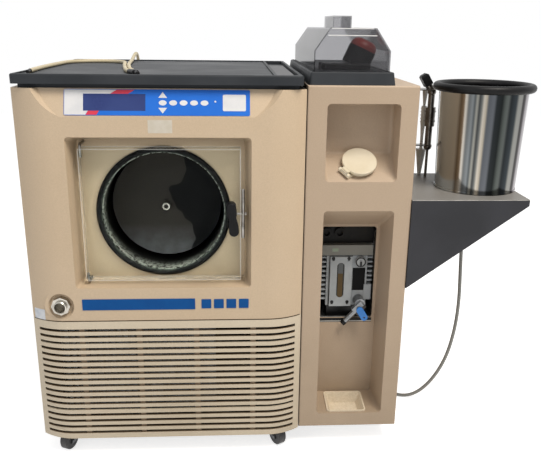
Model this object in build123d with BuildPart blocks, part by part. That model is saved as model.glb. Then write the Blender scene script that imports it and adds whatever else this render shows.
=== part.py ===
from build123d import *
import os
from math import asin, atan, atan2, cos, degrees, pi, radians, sin, sqrt, tan

# Console freeze dryer: a refrigerated cabinet on casters with a clear chamber door, a tower
# with the vacuum pump beside it, and a side shelf that carries a stainless drum.
# Millimetres. +X runs from the cabinet to the shelf, +Y to the back, +Z up. The origin is on
# the floor, under the middle of the machine's own box (its two leads apart).

os.makedirs("parts", exist_ok=True)


def write(part, label):
    """Name a finished piece and write it to its own file."""
    part.label = label
    export_step(part, f"parts/{label}.step")


# ---------------------------------------------------------------- driving sizes
# overall
cabinet_width = 610.0
tower_width = 242.0
shelf_reach = 268.0
cabinet_depth = 600.0
cabinet_height = 868.0
tower_height = 876.0
skirt_height = 52.0
caster_height = 63.0
grille_height = 356.0
sheet = 2.0
gap = 0.3
seam_gap = 1.5

# moulded fronts
moulding_wall = 5.0
corner_run = 80.0
corner_setback = 28.0
tower_setback = 30.0
tower_shell_depth = 30.0

# door well and chamber
bay_shift = -5.0
bay_height = 594.0
well_width = 387.0
well_low = 160.0
well_high = 176.0
well_depth = 60.0
well_draft = 13.0
well_corner = 8.0
door_width = 342.0
door_height = 297.0
door_thickness = 25.0
door_front = 27.0
gasket_radius = 148.0
gasket_width = 12.0
gasket_thickness = 7.7
vessel_wall = 3.0
vessel_depth = 290.0
vessel_dish = 30.0
baffle_radius = 126.0
baffle_setback = 86.0
hinge_pin_radius = 3.0
hinge_inset = 3.0
running_clearance = 0.05

# latch
knob_reach = 31.0
knob_length = 75.0
knob_width = 21.0
knob_depth = 20.0
knob_lean = 6.0
latch_inset = 18.0
latch_rod_length = 112.0
latch_rod_radius = 4.0

# control panel
scoop_bottom = 812.0
scoop_depth = 20.0
scoop_low_width = 398.0
scoop_high_width = 521.0
panel_width = 380.0
panel_height = 54.0
panel_thickness = 1.2

# grille
slot_pitch = 15.5
slot_height = 6.5
slot_count = 18
slot_first = 69.0
web_width = 12.0
web_count = 4
web_spacing = 129.0
web_setback = 2.5

# covers
cover_thickness = 20.0
cover_gap = 9.0
tower_cover_height = 27.0
tower_cover_width = 186.0
tower_cover_length = 526.0

# hood on the tower
hood_left = 15.0
hood_width = 162.0
hood_top_width = 98.0
hood_setback = 45.0
hood_length = 445.0
hood_shoulder = 43.0
hood_height = 89.0
hood_wall = 2.5
outlet_width = 43.0
outlet_length = 150.0
outlet_height = 26.0

# tower alcoves
alcove_left = 45.0
alcove_width = 159.0
upper_low = 668.0
upper_high = 838.0
upper_depth = 70.0
upper_rise = 52.0
lower_low = 88.0
lower_high = 602.0
lower_depth = 90.0
lower_back_high = 545.0
lower_back_left = 50.0
lower_back_right = 194.0
lower_floor_rise = 8.0
window_low = 302.0
window_high = 539.0
window_left = 55.0
window_right = 187.0
lid_radius = 39.0
lid_thickness = 7.0
tray_width = 96.0
tray_depth_y = 80.0
tray_drop = 24.0

# side shelf and drum
shelf_height = 627.5
shelf_depth = 282.0
shelf_lip = 14.5
shelf_root = 211.0
drum_radius = 100.5
drum_foot_radius = 93.5
drum_height = 236.0
drum_wall = 1.5
drum_ring_radius = 9.5
drum_out = 184.5
drum_setback = 158.0

# casters
wheel_radius = 25.0
wheel_width = 20.0
caster_trail = 26.0
caster_inset_x = 62.0
caster_inset_y = 66.0

# ---------------------------------------------------------------- places worked out from them
ring_radius = drum_radius + 5.5
drum_reach = drum_out + ring_radius + drum_ring_radius
left = -(cabinet_width + tower_width + drum_reach) / 2
seam = left + cabinet_width
tower_right = seam + tower_width
shelf_end = tower_right + shelf_reach
front = (knob_reach - cabinet_depth) / 2
back = front + cabinet_depth
cabinet_mid = left + cabinet_width / 2
bay_x = cabinet_mid + bay_shift
tower_front_y = front + tower_setback
pan_top = caster_height + sheet


def facing(y):
    """Plane at depth y that looks out of the front: sketch in X and Z, extrude towards the front."""
    return Plane(origin=(0, y, 0), x_dir=(1, 0, 0), z_dir=(0, -1, 0))


def from_side(x):
    """Plane across the machine at x: sketch in Y and Z, extrude towards the shelf."""
    return Plane(origin=(x, 0, 0), x_dir=(0, 1, 0), z_dir=(1, 0, 0))


def block(x0, x1, y0, y1, z0, z1, mode=Mode.ADD):
    """Square block between three pairs of faces, in the part being built."""
    with Locations(((x0 + x1) / 2, (y0 + y1) / 2, (z0 + z1) / 2)):
        Box(x1 - x0, y1 - y0, z1 - z0, mode=mode)


corner_radius = (corner_run**2 + corner_setback**2) / (2 * corner_setback)


def front_plan(inset, back_y):
    """Plan of the bowed front: flat in the middle, bent back at both ends on arcs that share
    their centres with the outside, and closed along back_y."""
    radius = corner_radius - inset
    run = corner_run - inset
    turn = degrees(asin(run / radius))
    end_y = front + corner_radius - sqrt(radius**2 - run**2)
    x_left, x_right = left + inset, seam - inset
    arc_left, arc_right = left + corner_run, seam - corner_run
    with BuildSketch() as plan:
        with BuildLine():
            Line((arc_left, front + inset), (arc_right, front + inset))
            CenterArc((arc_right, front + corner_radius), radius, 270, turn)
            if back_y > end_y + gap:
                Line((x_right, end_y), (x_right, back_y))
                Line((x_left, back_y), (x_left, end_y))
            Line((x_right, max(back_y, end_y)), (x_left, max(back_y, end_y)))
            CenterArc((arc_left, front + corner_radius), radius, 270 - turn, turn)
        make_face()
    return plan.sketch


# ================================================================ chassis and panels
# Base pan: folded steel tray under the cabinet and the back of the tower, with the caster
# plates below.
pan_front = front + corner_setback + 8
pan_lip = 25.0
plate_size = 56.0
race_radius = 14.0
race_drop = 2.8
stem_radius = 5.0
stem_length = 8.0
caster_x = (left + caster_inset_x, seam - caster_inset_x)
caster_y = (front + caster_inset_y, back - caster_inset_y)
caster_places = [(x, y) for y in caster_y for x in caster_x]
race_z = caster_height - sheet - race_drop
pan_left = left + sheet + gap
pan_right = tower_right - sheet - gap
pan_back = back - sheet - gap
tower_pan_front = tower_front_y + lower_depth + 12
with BuildPart() as base_pan:
    with BuildSketch(Plane.XY.offset(caster_height)):
        Polygon((pan_left, pan_front), (seam, pan_front), (seam, tower_pan_front),
                (pan_right, tower_pan_front), (pan_right, pan_back), (pan_left, pan_back),
                align=None)
    extrude(amount=pan_lip)
    fillet(base_pan.edges().filter_by(Axis.Z), 6)
    offset(amount=-sheet, openings=base_pan.faces().sort_by(Axis.Z)[-1])
    with BuildSketch(Plane.XY.offset(caster_height - sheet)):
        with Locations(*caster_places):
            Rectangle(plate_size, plate_size)
    extrude(amount=sheet)
    with BuildSketch(Plane.XY.offset(race_z)):
        with Locations(*caster_places):
            Circle(race_radius)
    extrude(amount=race_drop)
    with BuildSketch(Plane.XY.offset(race_z)):
        with Locations(*caster_places[:2]):
            Circle(stem_radius + running_clearance)
    extrude(amount=race_drop + 2 * sheet, mode=Mode.SUBTRACT)
write(base_pan.part, "base_pan")

# Side panels: formed sheets with returns along the top and bottom, open inside and behind. The
# left one also has a return in front, behind the bowed moulding.
panel_return = 14.0


def side_panel(x_out, x_in, y0, z1, front_return):
    """One formed side panel between its outer face and the line of its returns."""
    with BuildPart() as panel:
        block(min(x_out, x_in), max(x_out, x_in), y0, back, skirt_height, z1)
        inner = panel.faces().filter_by(Axis.X).sort_by(Axis.X)[-1 if x_in > x_out else 0]
        ends = panel.faces().filter_by(Axis.Y).sort_by(Axis.Y)
        offset(amount=-sheet, openings=[inner, ends[-1]] + ([] if front_return else [ends[0]]))
    return panel.part


left_panel = side_panel(left, left + panel_return, front + corner_setback + gap, cabinet_height, True)
write(left_panel, "left_panel")

# Right panel: the tower's side and its top, folded from one sheet.
tower_panel_y = tower_front_y + tower_shell_depth + gap
with BuildPart() as right_panel:
    add(side_panel(tower_right, tower_right - panel_return, tower_panel_y, tower_height, False))
    block(seam + seam_gap, tower_right - sheet, tower_panel_y, back, tower_height - sheet, tower_height)
write(right_panel.part, "right_panel")

# Centre panel: flat sheet between the cabinet and the tower, on the pan's lips, with a port
# for the vacuum pipe.
with BuildPart() as centre_panel:
    block(seam - sheet, seam, pan_front, back - sheet - gap, caster_height + pan_lip + gap,
          cabinet_height - sheet)
    with BuildSketch(from_side(seam)):
        with Locations((back - 150, 420)):
            RectangleRounded(120, 160, 12)
    extrude(amount=-sheet, mode=Mode.SUBTRACT)
write(centre_panel.part, "centre_panel")

# Rear panel: one flat sheet behind the cabinet and the tower, with pressed rows of vents.
vent_rows = 9
vent_pitch = 22.0
vent_height = 7.0
with BuildPart() as rear_panel:
    block(left + sheet + gap, tower_right - sheet - gap, back - sheet, back,
          skirt_height + sheet + gap, cabinet_height - sheet - gap)
    with BuildSketch(facing(back)):
        with Locations((cabinet_mid, 250)):
            with GridLocations(210, vent_pitch, 2, vent_rows):
                SlotOverall(180, vent_height)
        with Locations((seam + tower_width / 2, 400)):
            with GridLocations(0, vent_pitch, 1, vent_rows):
                SlotOverall(130, vent_height)
    extrude(amount=sheet, mode=Mode.SUBTRACT)
write(rear_panel.part, "rear_panel")

# ================================================================ bowed front of the cabinet
port_x = left + 70.0
port_z = 392.0
port_dish = 31.0
port_dish_depth = 12.0
port_nut = 21.0
port_nose = 14.0
port_bore = 12.0
port_out = 9.0
port_back = 40.0
# Front moulding: structural foam shell, bowed at both ends, with the deep drafted door well
# and the tilted scoop that carries the control panel.
side_y = front + corner_setback
well_z0 = bay_height - well_low
well_z1 = bay_height + well_high
well_mid_z = (well_z0 + well_z1) / 2
well_high_size = well_z1 - well_z0
well_back_y = front + well_depth
well_floor_rise = 4.0
mouth_radius = gasket_radius + gap


def well_sections(grow):
    """Mouth and back of the door well, grown on every side."""
    with BuildSketch(facing(front - grow)) as mouth:
        with Locations((bay_x, well_mid_z)):
            RectangleRounded(well_width + 2 * grow, well_high_size + 2 * grow, well_corner + grow)
    with BuildSketch(facing(well_back_y + grow)) as rear:
        with Locations((bay_x, well_mid_z - (well_draft - well_floor_rise) / 2)):
            RectangleRounded(well_width - 2 * well_draft + 2 * grow,
                             well_high_size - well_draft - well_floor_rise + 2 * grow,
                             well_corner + grow)
    return [mouth.sketch, rear.sketch]


with BuildPart() as scoop_cut:
    # outline on the front, drawn in and down to the crease on arcs, cut back to the tilted face
    with BuildSketch(facing(front - 1)):
        with BuildLine():
            low, high = scoop_low_width / 2, scoop_high_width / 2
            low_z, high_z = scoop_bottom - 1, cabinet_height
            Line((bay_x - low, low_z), (bay_x + low, low_z))
            RadiusArc((bay_x + low, low_z), (bay_x + high, high_z), -130)
            Polyline((bay_x + high, high_z), (bay_x + high + 4, high_z + 30),
                     (bay_x - high - 4, high_z + 30), (bay_x - high, high_z))
            RadiusArc((bay_x - high, high_z), (bay_x - low, low_z), -130)
        make_face()
    extrude(amount=-(scoop_depth + 4), taper=35)
    with BuildSketch(Plane.YZ.offset(bay_x)):
        slope = scoop_depth / (cabinet_height - scoop_bottom)
        Polygon((front, scoop_bottom), (front + 40, scoop_bottom + 40 / slope),
                (front + 40, scoop_bottom - 12), (front - 2, scoop_bottom - 12),
                (front - 2, scoop_bottom), align=None)
    extrude(amount=scoop_high_width, both=True, mode=Mode.SUBTRACT)

with BuildPart() as front_moulding:
    with BuildSketch(Plane.XY.offset(grille_height)):
        add(front_plan(0, side_y))
    extrude(amount=cabinet_height - grille_height)
    with BuildSketch(Plane.XY.offset(grille_height + moulding_wall)):
        add(front_plan(moulding_wall, side_y + 1))
    extrude(amount=scoop_bottom - 2 * moulding_wall - grille_height, mode=Mode.SUBTRACT)
    loft(well_sections(moulding_wall))
    with BuildSketch(facing(front)):
        with Locations((bay_x, bay_height)):
            Rectangle(cabinet_width, cabinet_height)
    extrude(amount=moulding_wall * 2, mode=Mode.SUBTRACT)
    loft(well_sections(0), mode=Mode.SUBTRACT)
    with BuildSketch(facing(well_back_y)):
        with Locations((bay_x, bay_height)):
            Circle(mouth_radius)
    extrude(amount=-moulding_wall, mode=Mode.SUBTRACT)
    add(scoop_cut.part, mode=Mode.SUBTRACT)
    # boss behind the drain port, dished in front and bored for its nose
    with BuildSketch(facing(front + moulding_wall)):
        with Locations((port_x, port_z)):
            Circle(port_dish + moulding_wall)
    extrude(amount=-port_dish_depth)
    with Locations(Location((port_x, front + port_dish_depth / 2 - 1, port_z), (90, 0, 0))):
        Cone(port_nut + 4, port_dish, port_dish_depth + 2, mode=Mode.SUBTRACT)
    with BuildSketch(facing(front)):
        with Locations((port_x, port_z)):
            Circle(port_nose + gap)
    extrude(amount=-corner_setback, mode=Mode.SUBTRACT)
write(front_moulding.part, "front_moulding")

# Front grille: the same bow in plan, with rows of slots that run on round both corners. The webs
# between the slots stand back from the slats' faces, at the bottom of a groove along each row.
slot_end = corner_setback / 2
with BuildPart() as slot_groove:
    with BuildSketch():
        add(front_plan(-1, side_y))
        add(front_plan(web_setback, side_y + 1), mode=Mode.SUBTRACT)
    extrude(amount=slot_height)
    block(left + slot_end, seam - slot_end, front - 2, side_y, 0, slot_height, Mode.INTERSECT)

with BuildPart() as front_grille:
    with BuildSketch(Plane.XY.offset(skirt_height)):
        add(front_plan(0, side_y))
    extrude(amount=grille_height - gap - skirt_height)
    with BuildSketch(Plane.XY.offset(skirt_height + moulding_wall)):
        add(front_plan(moulding_wall, side_y + 1))
    extrude(amount=grille_height - gap - skirt_height - 2 * moulding_wall, mode=Mode.SUBTRACT)
    slot_edges = [left + slot_end]
    for web in range(web_count):
        web_x = cabinet_mid + (web - (web_count - 1) / 2) * web_spacing
        slot_edges += [web_x - web_width / 2, web_x + web_width / 2]
    slot_edges.append(seam - slot_end)
    with BuildSketch(facing(side_y)):
        for row in range(slot_count):
            slot_z = slot_first + row * slot_pitch
            for x0, x1 in zip(slot_edges[::2], slot_edges[1::2]):
                with Locations(((x0 + x1) / 2, slot_z)):
                    Rectangle(x1 - x0, slot_height)
    extrude(amount=corner_setback + 1, mode=Mode.SUBTRACT)
    with Locations(*[(0, 0, slot_first + row * slot_pitch - slot_height / 2) for row in range(slot_count)]):
        add(slot_groove.part, mode=Mode.SUBTRACT)
write(front_grille.part, "front_grille")

# ================================================================ control panel
# One laminated membrane on the tilted face of the scoop. Its printed fields, keys and blank
# label are thin raised areas, drawn from the panel's top left corner.
scoop_tilt = atan2(scoop_depth, cabinet_height - scoop_bottom)
panel_rise = 3.0
print_thickness = 0.4
window_size = (126.4, 35.0)
window_at = (102.0, 27.0)
key_size = (16.0, 10.8)
key_pitch = 21.4
key_at = (200.5, 27.6)
key_count = 5
arrow_width = 18.0
arrow_height = 12.0
arrow_rise = 16.4
label_size = (47.7, 34.3)
label_at = (347.7, 27.0)
lamp_at = (308.4, 24.5)
lamp_radius = 2.0
bar_height = 9.3
bar_slant = 13.0
bar_width = 36.0
bar_top_at = 107.0
bar_low_at = 49.0
bar_low_width = 22.0
bar_low_slant = 5.0


def scoop_face(lift):
    """Plane over the tilted face, with its origin at the membrane's top left corner."""
    normal = Vector(0, -cos(scoop_tilt), sin(scoop_tilt))
    slope = Vector(0, sin(scoop_tilt), cos(scoop_tilt))
    corner = Vector(bay_x - panel_width / 2, front, scoop_bottom)
    return Plane(corner + slope * (panel_rise + panel_height) + normal * lift,
                 x_dir=(1, 0, 0), z_dir=normal)


display_left = window_at[0] - window_size[0] / 2
with BuildPart() as control_panel:
    with BuildSketch(scoop_face(0)):
        with Locations((panel_width / 2, -panel_height / 2)):
            RectangleRounded(panel_width, panel_height, 3)
    extrude(amount=panel_thickness)
    with BuildSketch(scoop_face(panel_thickness)):
        with Locations((window_at[0], -window_at[1])):
            Rectangle(*window_size)
    extrude(amount=-panel_thickness, mode=Mode.SUBTRACT)
write(control_panel.part, "control_panel")

with BuildPart() as display_window:
    with BuildSketch(scoop_face(0)):
        with Locations((window_at[0], -window_at[1])):
            Rectangle(window_size[0] - gap, window_size[1] - gap)
    extrude(amount=panel_thickness - 0.2)
write(display_window.part, "display_window")

with BuildPart() as panel_white_print:
    with BuildSketch(scoop_face(panel_thickness)):
        Polygon((1, -1), (bar_top_at - 0.5, -1), (bar_top_at - bar_slant - 0.5, -bar_height),
                (display_left, -bar_height), (display_left, bar_height - panel_height),
                (bar_low_at - 0.5, bar_height - panel_height),
                (bar_low_at - bar_low_slant - 0.5, 1 - panel_height), (1, 1 - panel_height),
                align=None)
        with Locations((key_at[0] + key_pitch * (key_count - 1) / 2, -key_at[1])):
            with GridLocations(key_pitch, 0, key_count, 1):
                Ellipse(key_size[0] / 2, key_size[1] / 2)
        with Locations((label_at[0], -label_at[1])):
            RectangleRounded(*label_size, 3)
        with Locations((lamp_at[0], -lamp_at[1])):
            Circle(lamp_radius)
        for up in (1, -1):
            near = -key_at[1] + up * (arrow_rise - arrow_height / 2)
            Polygon((key_at[0] - arrow_width / 2, near), (key_at[0] + arrow_width / 2, near),
                    (key_at[0], near + up * arrow_height), align=None)
    extrude(amount=print_thickness)
write(panel_white_print.part, "panel_white_print")

with BuildPart() as panel_red_bars:
    with BuildSketch(scoop_face(panel_thickness)):
        Polygon((bar_top_at, -1), (bar_top_at + bar_width, -1),
                (bar_top_at + bar_width - bar_slant, -bar_height),
                (bar_top_at - bar_slant, -bar_height), align=None)
        Polygon((bar_low_at, bar_height - panel_height),
                (bar_low_at + bar_low_width, bar_height - panel_height),
                (bar_low_at + bar_low_width - bar_low_slant, 1 - panel_height),
                (bar_low_at - bar_low_slant, 1 - panel_height), align=None)
    extrude(amount=print_thickness)
write(panel_red_bars.part, "panel_red_bars")

# ================================================================ trim below the door well
# Bare blue name strip and four bare squares, bonded in a shallow recess of the moulding.
strip_z = 395.5
strip_height = 26.0
strip_left = bay_x - 182.0
strip_length = 250.0
square_size = 22.0
square_pitch = 28.0
square_left = bay_x + 82.0
square_count = 4
strip_thickness = 1.0
with BuildPart() as name_strip:
    with BuildSketch(facing(front)):
        with Locations((strip_left + strip_length / 2, strip_z)):
            RectangleRounded(strip_length, strip_height, 1.5)
        for index in range(square_count):
            with Locations((square_left + square_size / 2 + index * square_pitch, strip_z)):
                RectangleRounded(square_size, square_size, 1.5)
    extrude(amount=strip_thickness)
write(name_strip.part, "name_strip")

# Drain port: plated nut and nose on the condensate drain, in a round dish of the moulding.
with BuildPart() as drain_port:
    with BuildSketch(facing(front + port_dish_depth)):
        with Locations((port_x, port_z)):
            RegularPolygon(port_nut, 8)
    extrude(amount=port_dish_depth + port_out - 8)
    with BuildSketch(facing(front - port_out)):
        with Locations((port_x, port_z)):
            Circle(port_nose)
    extrude(amount=-(port_out + port_back))
    chamfer(drain_port.faces().sort_by(Axis.Y)[0].edges(), 1.5)
    with BuildSketch(facing(front - port_out)):
        with Locations((port_x, port_z)):
            Circle(port_bore)
    extrude(amount=-(port_out + port_back - 4), mode=Mode.SUBTRACT)
write(drain_port.part, "drain_port")

# ================================================================ top cover of the cabinet
cover_side = 5.0
cover_front = 4.0
cover_low = cabinet_height + cover_gap
cover_border = 9.0
cover_dish = 3.0
channel_width = 44.0
channel_depth = 9.0
with BuildPart() as top_cover:
    block(left + cover_side, seam - cover_side - 3, front + cover_front, back - cover_front,
          cover_low, cover_low + cover_thickness)
    fillet(top_cover.edges().filter_by(Axis.Z), 10)
    fillet(top_cover.faces().sort_by(Axis.Z)[-1].edges(), 4)
    # shallow dish inside a raised rim, and the cable channel along the tower side
    block(left + cover_side + cover_border, seam - channel_width - 26,
          front + cover_front + cover_border, back - cover_front - cover_border,
          cover_low + cover_thickness - cover_dish, cover_low + cover_thickness + 1, Mode.SUBTRACT)
    block(seam - channel_width - 20, seam - 18, front + 22, back - 22,
          cover_low + cover_thickness - channel_depth, cover_low + cover_thickness + 1, Mode.SUBTRACT)
    # inset foot that seats the cover on the cabinet
    block(left + 16, seam - 16, front + scoop_depth + 4, back - 16, cabinet_height, cover_low)
    block(left + 40, seam - 40, front + 60, back - 40, cabinet_height - 1, cover_low + 6, Mode.SUBTRACT)
write(top_cover.part, "top_cover")

# ================================================================ chamber
# Stainless vessel: rolled cylinder with a flange in the moulding's mouth and a dished end.
flange_y = front + door_front + door_thickness + gap + gasket_thickness
vessel_bore = gasket_radius - gasket_width - 2.0
flange_thickness = 6.0
vessel_end = flange_y + vessel_depth
with BuildPart() as chamber_vessel:
    with BuildSketch(facing(flange_y)):
        with Locations((bay_x, bay_height)):
            Circle(vessel_bore + vessel_wall)
    extrude(amount=-vessel_depth)
    fillet(chamber_vessel.faces().sort_by(Axis.Y)[-1].edges(), vessel_dish)
    offset(amount=-vessel_wall, openings=chamber_vessel.faces().sort_by(Axis.Y)[0])
    with BuildSketch(facing(flange_y)):
        with Locations((bay_x, bay_height)):
            Circle(gasket_radius)
            Circle(vessel_bore, mode=Mode.SUBTRACT)
    extrude(amount=-flange_thickness)
write(chamber_vessel.part, "chamber_vessel")

# Chamber gasket: moulded rubber ring with a raised lip, on the vessel's flange.
gasket_y = flange_y - gasket_thickness
with BuildPart() as chamber_gasket:
    with BuildSketch(Plane.YZ.offset(bay_x)):
        outer_z = bay_height + gasket_radius
        inner_z = outer_z - gasket_width
        with BuildLine():
            Polyline((flange_y, inner_z), (flange_y, outer_z), (gasket_y + 3, outer_z),
                     (gasket_y, outer_z - 4), (gasket_y, outer_z - 7), (gasket_y + 3, inner_z),
                     close=True)
        make_face()
    revolve(axis=Axis((bay_x, 0, bay_height), (0, 1, 0)))
write(chamber_gasket.part, "chamber_gasket")

# Baffle plate: dark disc inside the chamber, held by its centre stud to the vessel's end.
baffle_y = front + door_front + door_thickness + baffle_setback
baffle_thickness = 2.0
stud_radius = 6.0
with BuildPart() as baffle_plate:
    with BuildSketch(facing(baffle_y)):
        with Locations((bay_x, bay_height)):
            Circle(baffle_radius)
    extrude(amount=-baffle_thickness)
    with BuildSketch(facing(baffle_y)):
        with Locations((bay_x, bay_height)):
            Circle(stud_radius)
    extrude(amount=-(vessel_end - vessel_wall - gap - baffle_y))
    with BuildSketch(facing(baffle_y)):
        with Locations((bay_x, bay_height)):
            Circle(8.5)
            Circle(5.5, mode=Mode.SUBTRACT)
    extrude(amount=6)
write(baffle_plate.part, "baffle_plate")

# ================================================================ door
door_left = bay_x - door_width / 2
door_back = front + door_front + door_thickness
door_z0 = bay_height - door_height / 2
door_z1 = bay_height + door_height / 2
pin_x = door_left + hinge_inset
pin_y = front + door_front - 5.0
pin_over = 9.0
pin_under = 4.0
pin_lap = 18.0
eye_radius = 5.0
eye_length = 12.0
eye_drop = 4.0
with BuildPart() as door_plate:
    # clear cast acrylic with polished edges
    block(door_left, door_left + door_width, front + door_front, door_back, door_z0, door_z1)
    chamfer(door_plate.edges(), 0.8)
    # machined eyes for the hinge pins, on the front face at both left corners
    for z0 in (door_z1 - eye_drop - eye_length, door_z0 + eye_drop):
        with BuildSketch(Plane.XY.offset(z0)):
            with Locations((pin_x, pin_y)):
                Circle(eye_radius)
            with Locations((pin_x, (pin_y + front + door_front + 1) / 2)):
                Rectangle(2 * eye_radius, front + door_front + 1 - pin_y)
        extrude(amount=eye_length)
    with BuildSketch(Plane.XY.offset(door_z0)):
        with Locations((pin_x, pin_y)):
            Circle(hinge_pin_radius + running_clearance)
    extrude(amount=door_height, mode=Mode.SUBTRACT)
write(door_plate.part, "door_plate")

# Hinge rods: chromed rods out of the back of the well, bent over in front of the plate into
# the pins that the eyes turn on.
with BuildPart() as hinge_rods:
    for edge_z, bend_z, up in ((door_z1, door_z1 + pin_over, 1), (door_z0, door_z0 - pin_under, -1)):
        with BuildLine() as rod_line:
            FilletPolyline((pin_x, well_back_y, bend_z), (pin_x, pin_y, bend_z),
                           (pin_x, pin_y, edge_z - up * pin_lap), radius=6)
        with BuildSketch(Plane(origin=(pin_x, well_back_y, bend_z), z_dir=(0, -1, 0))):
            Circle(hinge_pin_radius)
        sweep(path=rod_line.line)
write(hinge_rods.part, "hinge_rods")

# Latch rod: collar for the knob's stem, a cross stud with a ball end, and the upright rod,
# brazed and chromed as one, on the door's right margin.
door_right = door_left + door_width
latch_x = door_right - latch_inset
latch_z = bay_height + 5.0
rod_x = door_right + 5.0
stud_y = front + door_front - 4.5
ball_radius = 4.0
collar_radius = 9.0
collar_reach = 19.0
stem_r = 5.0
with BuildPart() as latch_rod:
    with BuildSketch(facing(front + door_front)):
        with Locations((latch_x, latch_z)):
            Circle(collar_radius)
    extrude(amount=collar_reach)
    with BuildSketch(from_side(latch_x + stem_r + 1)):
        with Locations((stud_y, latch_z)):
            Circle(2.6)
    extrude(amount=rod_x + 4 - latch_x - stem_r)
    with Locations((rod_x + 6, stud_y, latch_z)):
        Sphere(ball_radius)
    with BuildSketch(Plane.XY.offset(latch_z - latch_rod_length / 2)):
        with Locations((rod_x, stud_y)):
            Circle(latch_rod_radius)
    extrude(amount=latch_rod_length)
    fillet(latch_rod.faces().filter_by(Axis.Z).edges(), 2.5)
    with BuildSketch(facing(front + door_front - 1)):
        with Locations((latch_x, latch_z)):
            Circle(stem_r + running_clearance)
    extrude(amount=collar_reach, mode=Mode.SUBTRACT)
write(latch_rod.part, "latch_rod")

# Latch knob: moulded black bar with rounded ends, hollowed flanks and a round stem that turns
# in the collar.
knob_back = front - knob_reach + knob_depth
with BuildPart() as latch_knob:
    with BuildSketch(facing(knob_back)):
        with Locations(Location((latch_x, latch_z), knob_lean)):
            SlotOverall(knob_length, knob_width, rotation=90)
            for side in (1, -1):
                with Locations((side * (knob_width / 2 + 38), 0)):
                    Circle(40, mode=Mode.SUBTRACT)
    extrude(amount=knob_depth)
    fillet(latch_knob.faces().sort_by(Axis.Y)[0].edges(), 4)
    with BuildSketch(facing(knob_back)):
        with Locations((latch_x, latch_z)):
            Circle(stem_r)
    extrude(amount=-(front + door_front - 1.5 - knob_back))
    with BuildSketch(facing(knob_back)):
        with Locations((latch_x, latch_z)):
            Circle(collar_radius - 1)
    extrude(amount=-(front + door_front - collar_reach - gap - knob_back))
write(latch_knob.part, "latch_knob")

# ================================================================ tower front
# One moulded tub in front of the tower: a shallow alcove with a sloped floor over the oil
# filler, and a deep alcove with a window in its back wall that looks in on the pump.
tower_left = seam + seam_gap
alcove_x0 = seam + alcove_left
alcove_x1 = alcove_x0 + alcove_width
alcove_mid = (alcove_x0 + alcove_x1) / 2
tub_wall = 4.0
tub_corner = 9.0
front_corner = 4.0
upper_back_y = tower_front_y + upper_depth
lower_back_y = tower_front_y + lower_depth
upper_tilt = atan(upper_rise / upper_depth)
lower_tilt = atan(lower_floor_rise / lower_depth)
upper_back_drop = 2.0
tray_setback = 5.0
tray_x = seam + 120.0
tray_corner = 6.0
tray_lip = 4.0
tray_gap = 0.5
tray_drawn = 9.5


def upper_tub(grow):
    """Shallow alcove as a solid, grown on every side behind its mouth."""
    down = grow / cos(upper_tilt)
    with BuildPart() as tub:
        with BuildSketch(from_side(alcove_x0 - grow)):
            Polygon((tower_front_y, upper_low - down),
                    (upper_back_y + grow, upper_low + upper_rise - down + grow * tan(upper_tilt)),
                    (upper_back_y + grow, upper_high - upper_back_drop + grow),
                    (tower_front_y, upper_high + grow), align=None)
        extrude(amount=alcove_width + 2 * grow)
        inner = [edge for edge in tub.edges() if edge.center().Y > tower_front_y + 1]
        fillet(inner, tub_corner + grow)
    return tub.part


def lower_sections(grow):
    """Mouth and back of the deep alcove, grown on every side."""
    mouth_size = (alcove_width + 2 * grow, lower_high - lower_low + 2 * grow)
    low = lower_low + lower_floor_rise
    rear_size = (lower_back_right - lower_back_left + 2 * grow, lower_back_high - low + 2 * grow)
    with BuildSketch(facing(tower_front_y)) as mouth:
        with Locations((alcove_mid, (lower_high + lower_low) / 2)):
            RectangleRounded(*mouth_size, tub_corner + grow)
    with BuildSketch(facing(lower_back_y + grow)) as rear:
        with Locations((seam + (lower_back_left + lower_back_right) / 2, (lower_back_high + low) / 2)):
            RectangleRounded(*rear_size, tub_corner + grow)
    return [mouth.sketch, rear.sketch]


def tray_floor(lift):
    """Plane over the deep alcove's sloped floor, with its origin at the middle of the drip tray."""
    slope = Vector(0, cos(lower_tilt), sin(lower_tilt))
    normal = Vector(0, -sin(lower_tilt), cos(lower_tilt))
    middle = Vector(tray_x, tower_front_y, lower_low) + slope * (tray_setback + tray_depth_y / 2)
    return Plane(middle + normal * lift, x_dir=(1, 0, 0), z_dir=normal)


tray_hole = (tray_width - 2 * tray_lip, tray_depth_y - 2 * tray_lip)
with BuildPart() as tower_front:
    block(tower_left, tower_right, tower_front_y, tower_front_y + tower_shell_depth,
          skirt_height, tower_height)
    fillet(tower_front.faces().sort_by(Axis.Y)[0].edges(), front_corner)
    offset(amount=-moulding_wall, openings=tower_front.faces().sort_by(Axis.Y)[-1])
    add(upper_tub(tub_wall))
    loft(lower_sections(tub_wall))
    add(upper_tub(0), mode=Mode.SUBTRACT)
    loft(lower_sections(0), mode=Mode.SUBTRACT)
    with BuildSketch(facing(lower_back_y)):
        with Locations((seam + (window_left + window_right) / 2, (window_low + window_high) / 2)):
            RectangleRounded(window_right - window_left, window_high - window_low, tub_corner - 1)
    extrude(amount=-tub_wall - 1, mode=Mode.SUBTRACT)
    with BuildSketch(tray_floor(1)):
        RectangleRounded(tray_hole[0] + 2 * tray_gap, tray_hole[1] + 2 * tray_gap, tray_corner)
    extrude(amount=-tub_wall - 2, mode=Mode.SUBTRACT)
write(tower_front.part, "tower_front")

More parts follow.
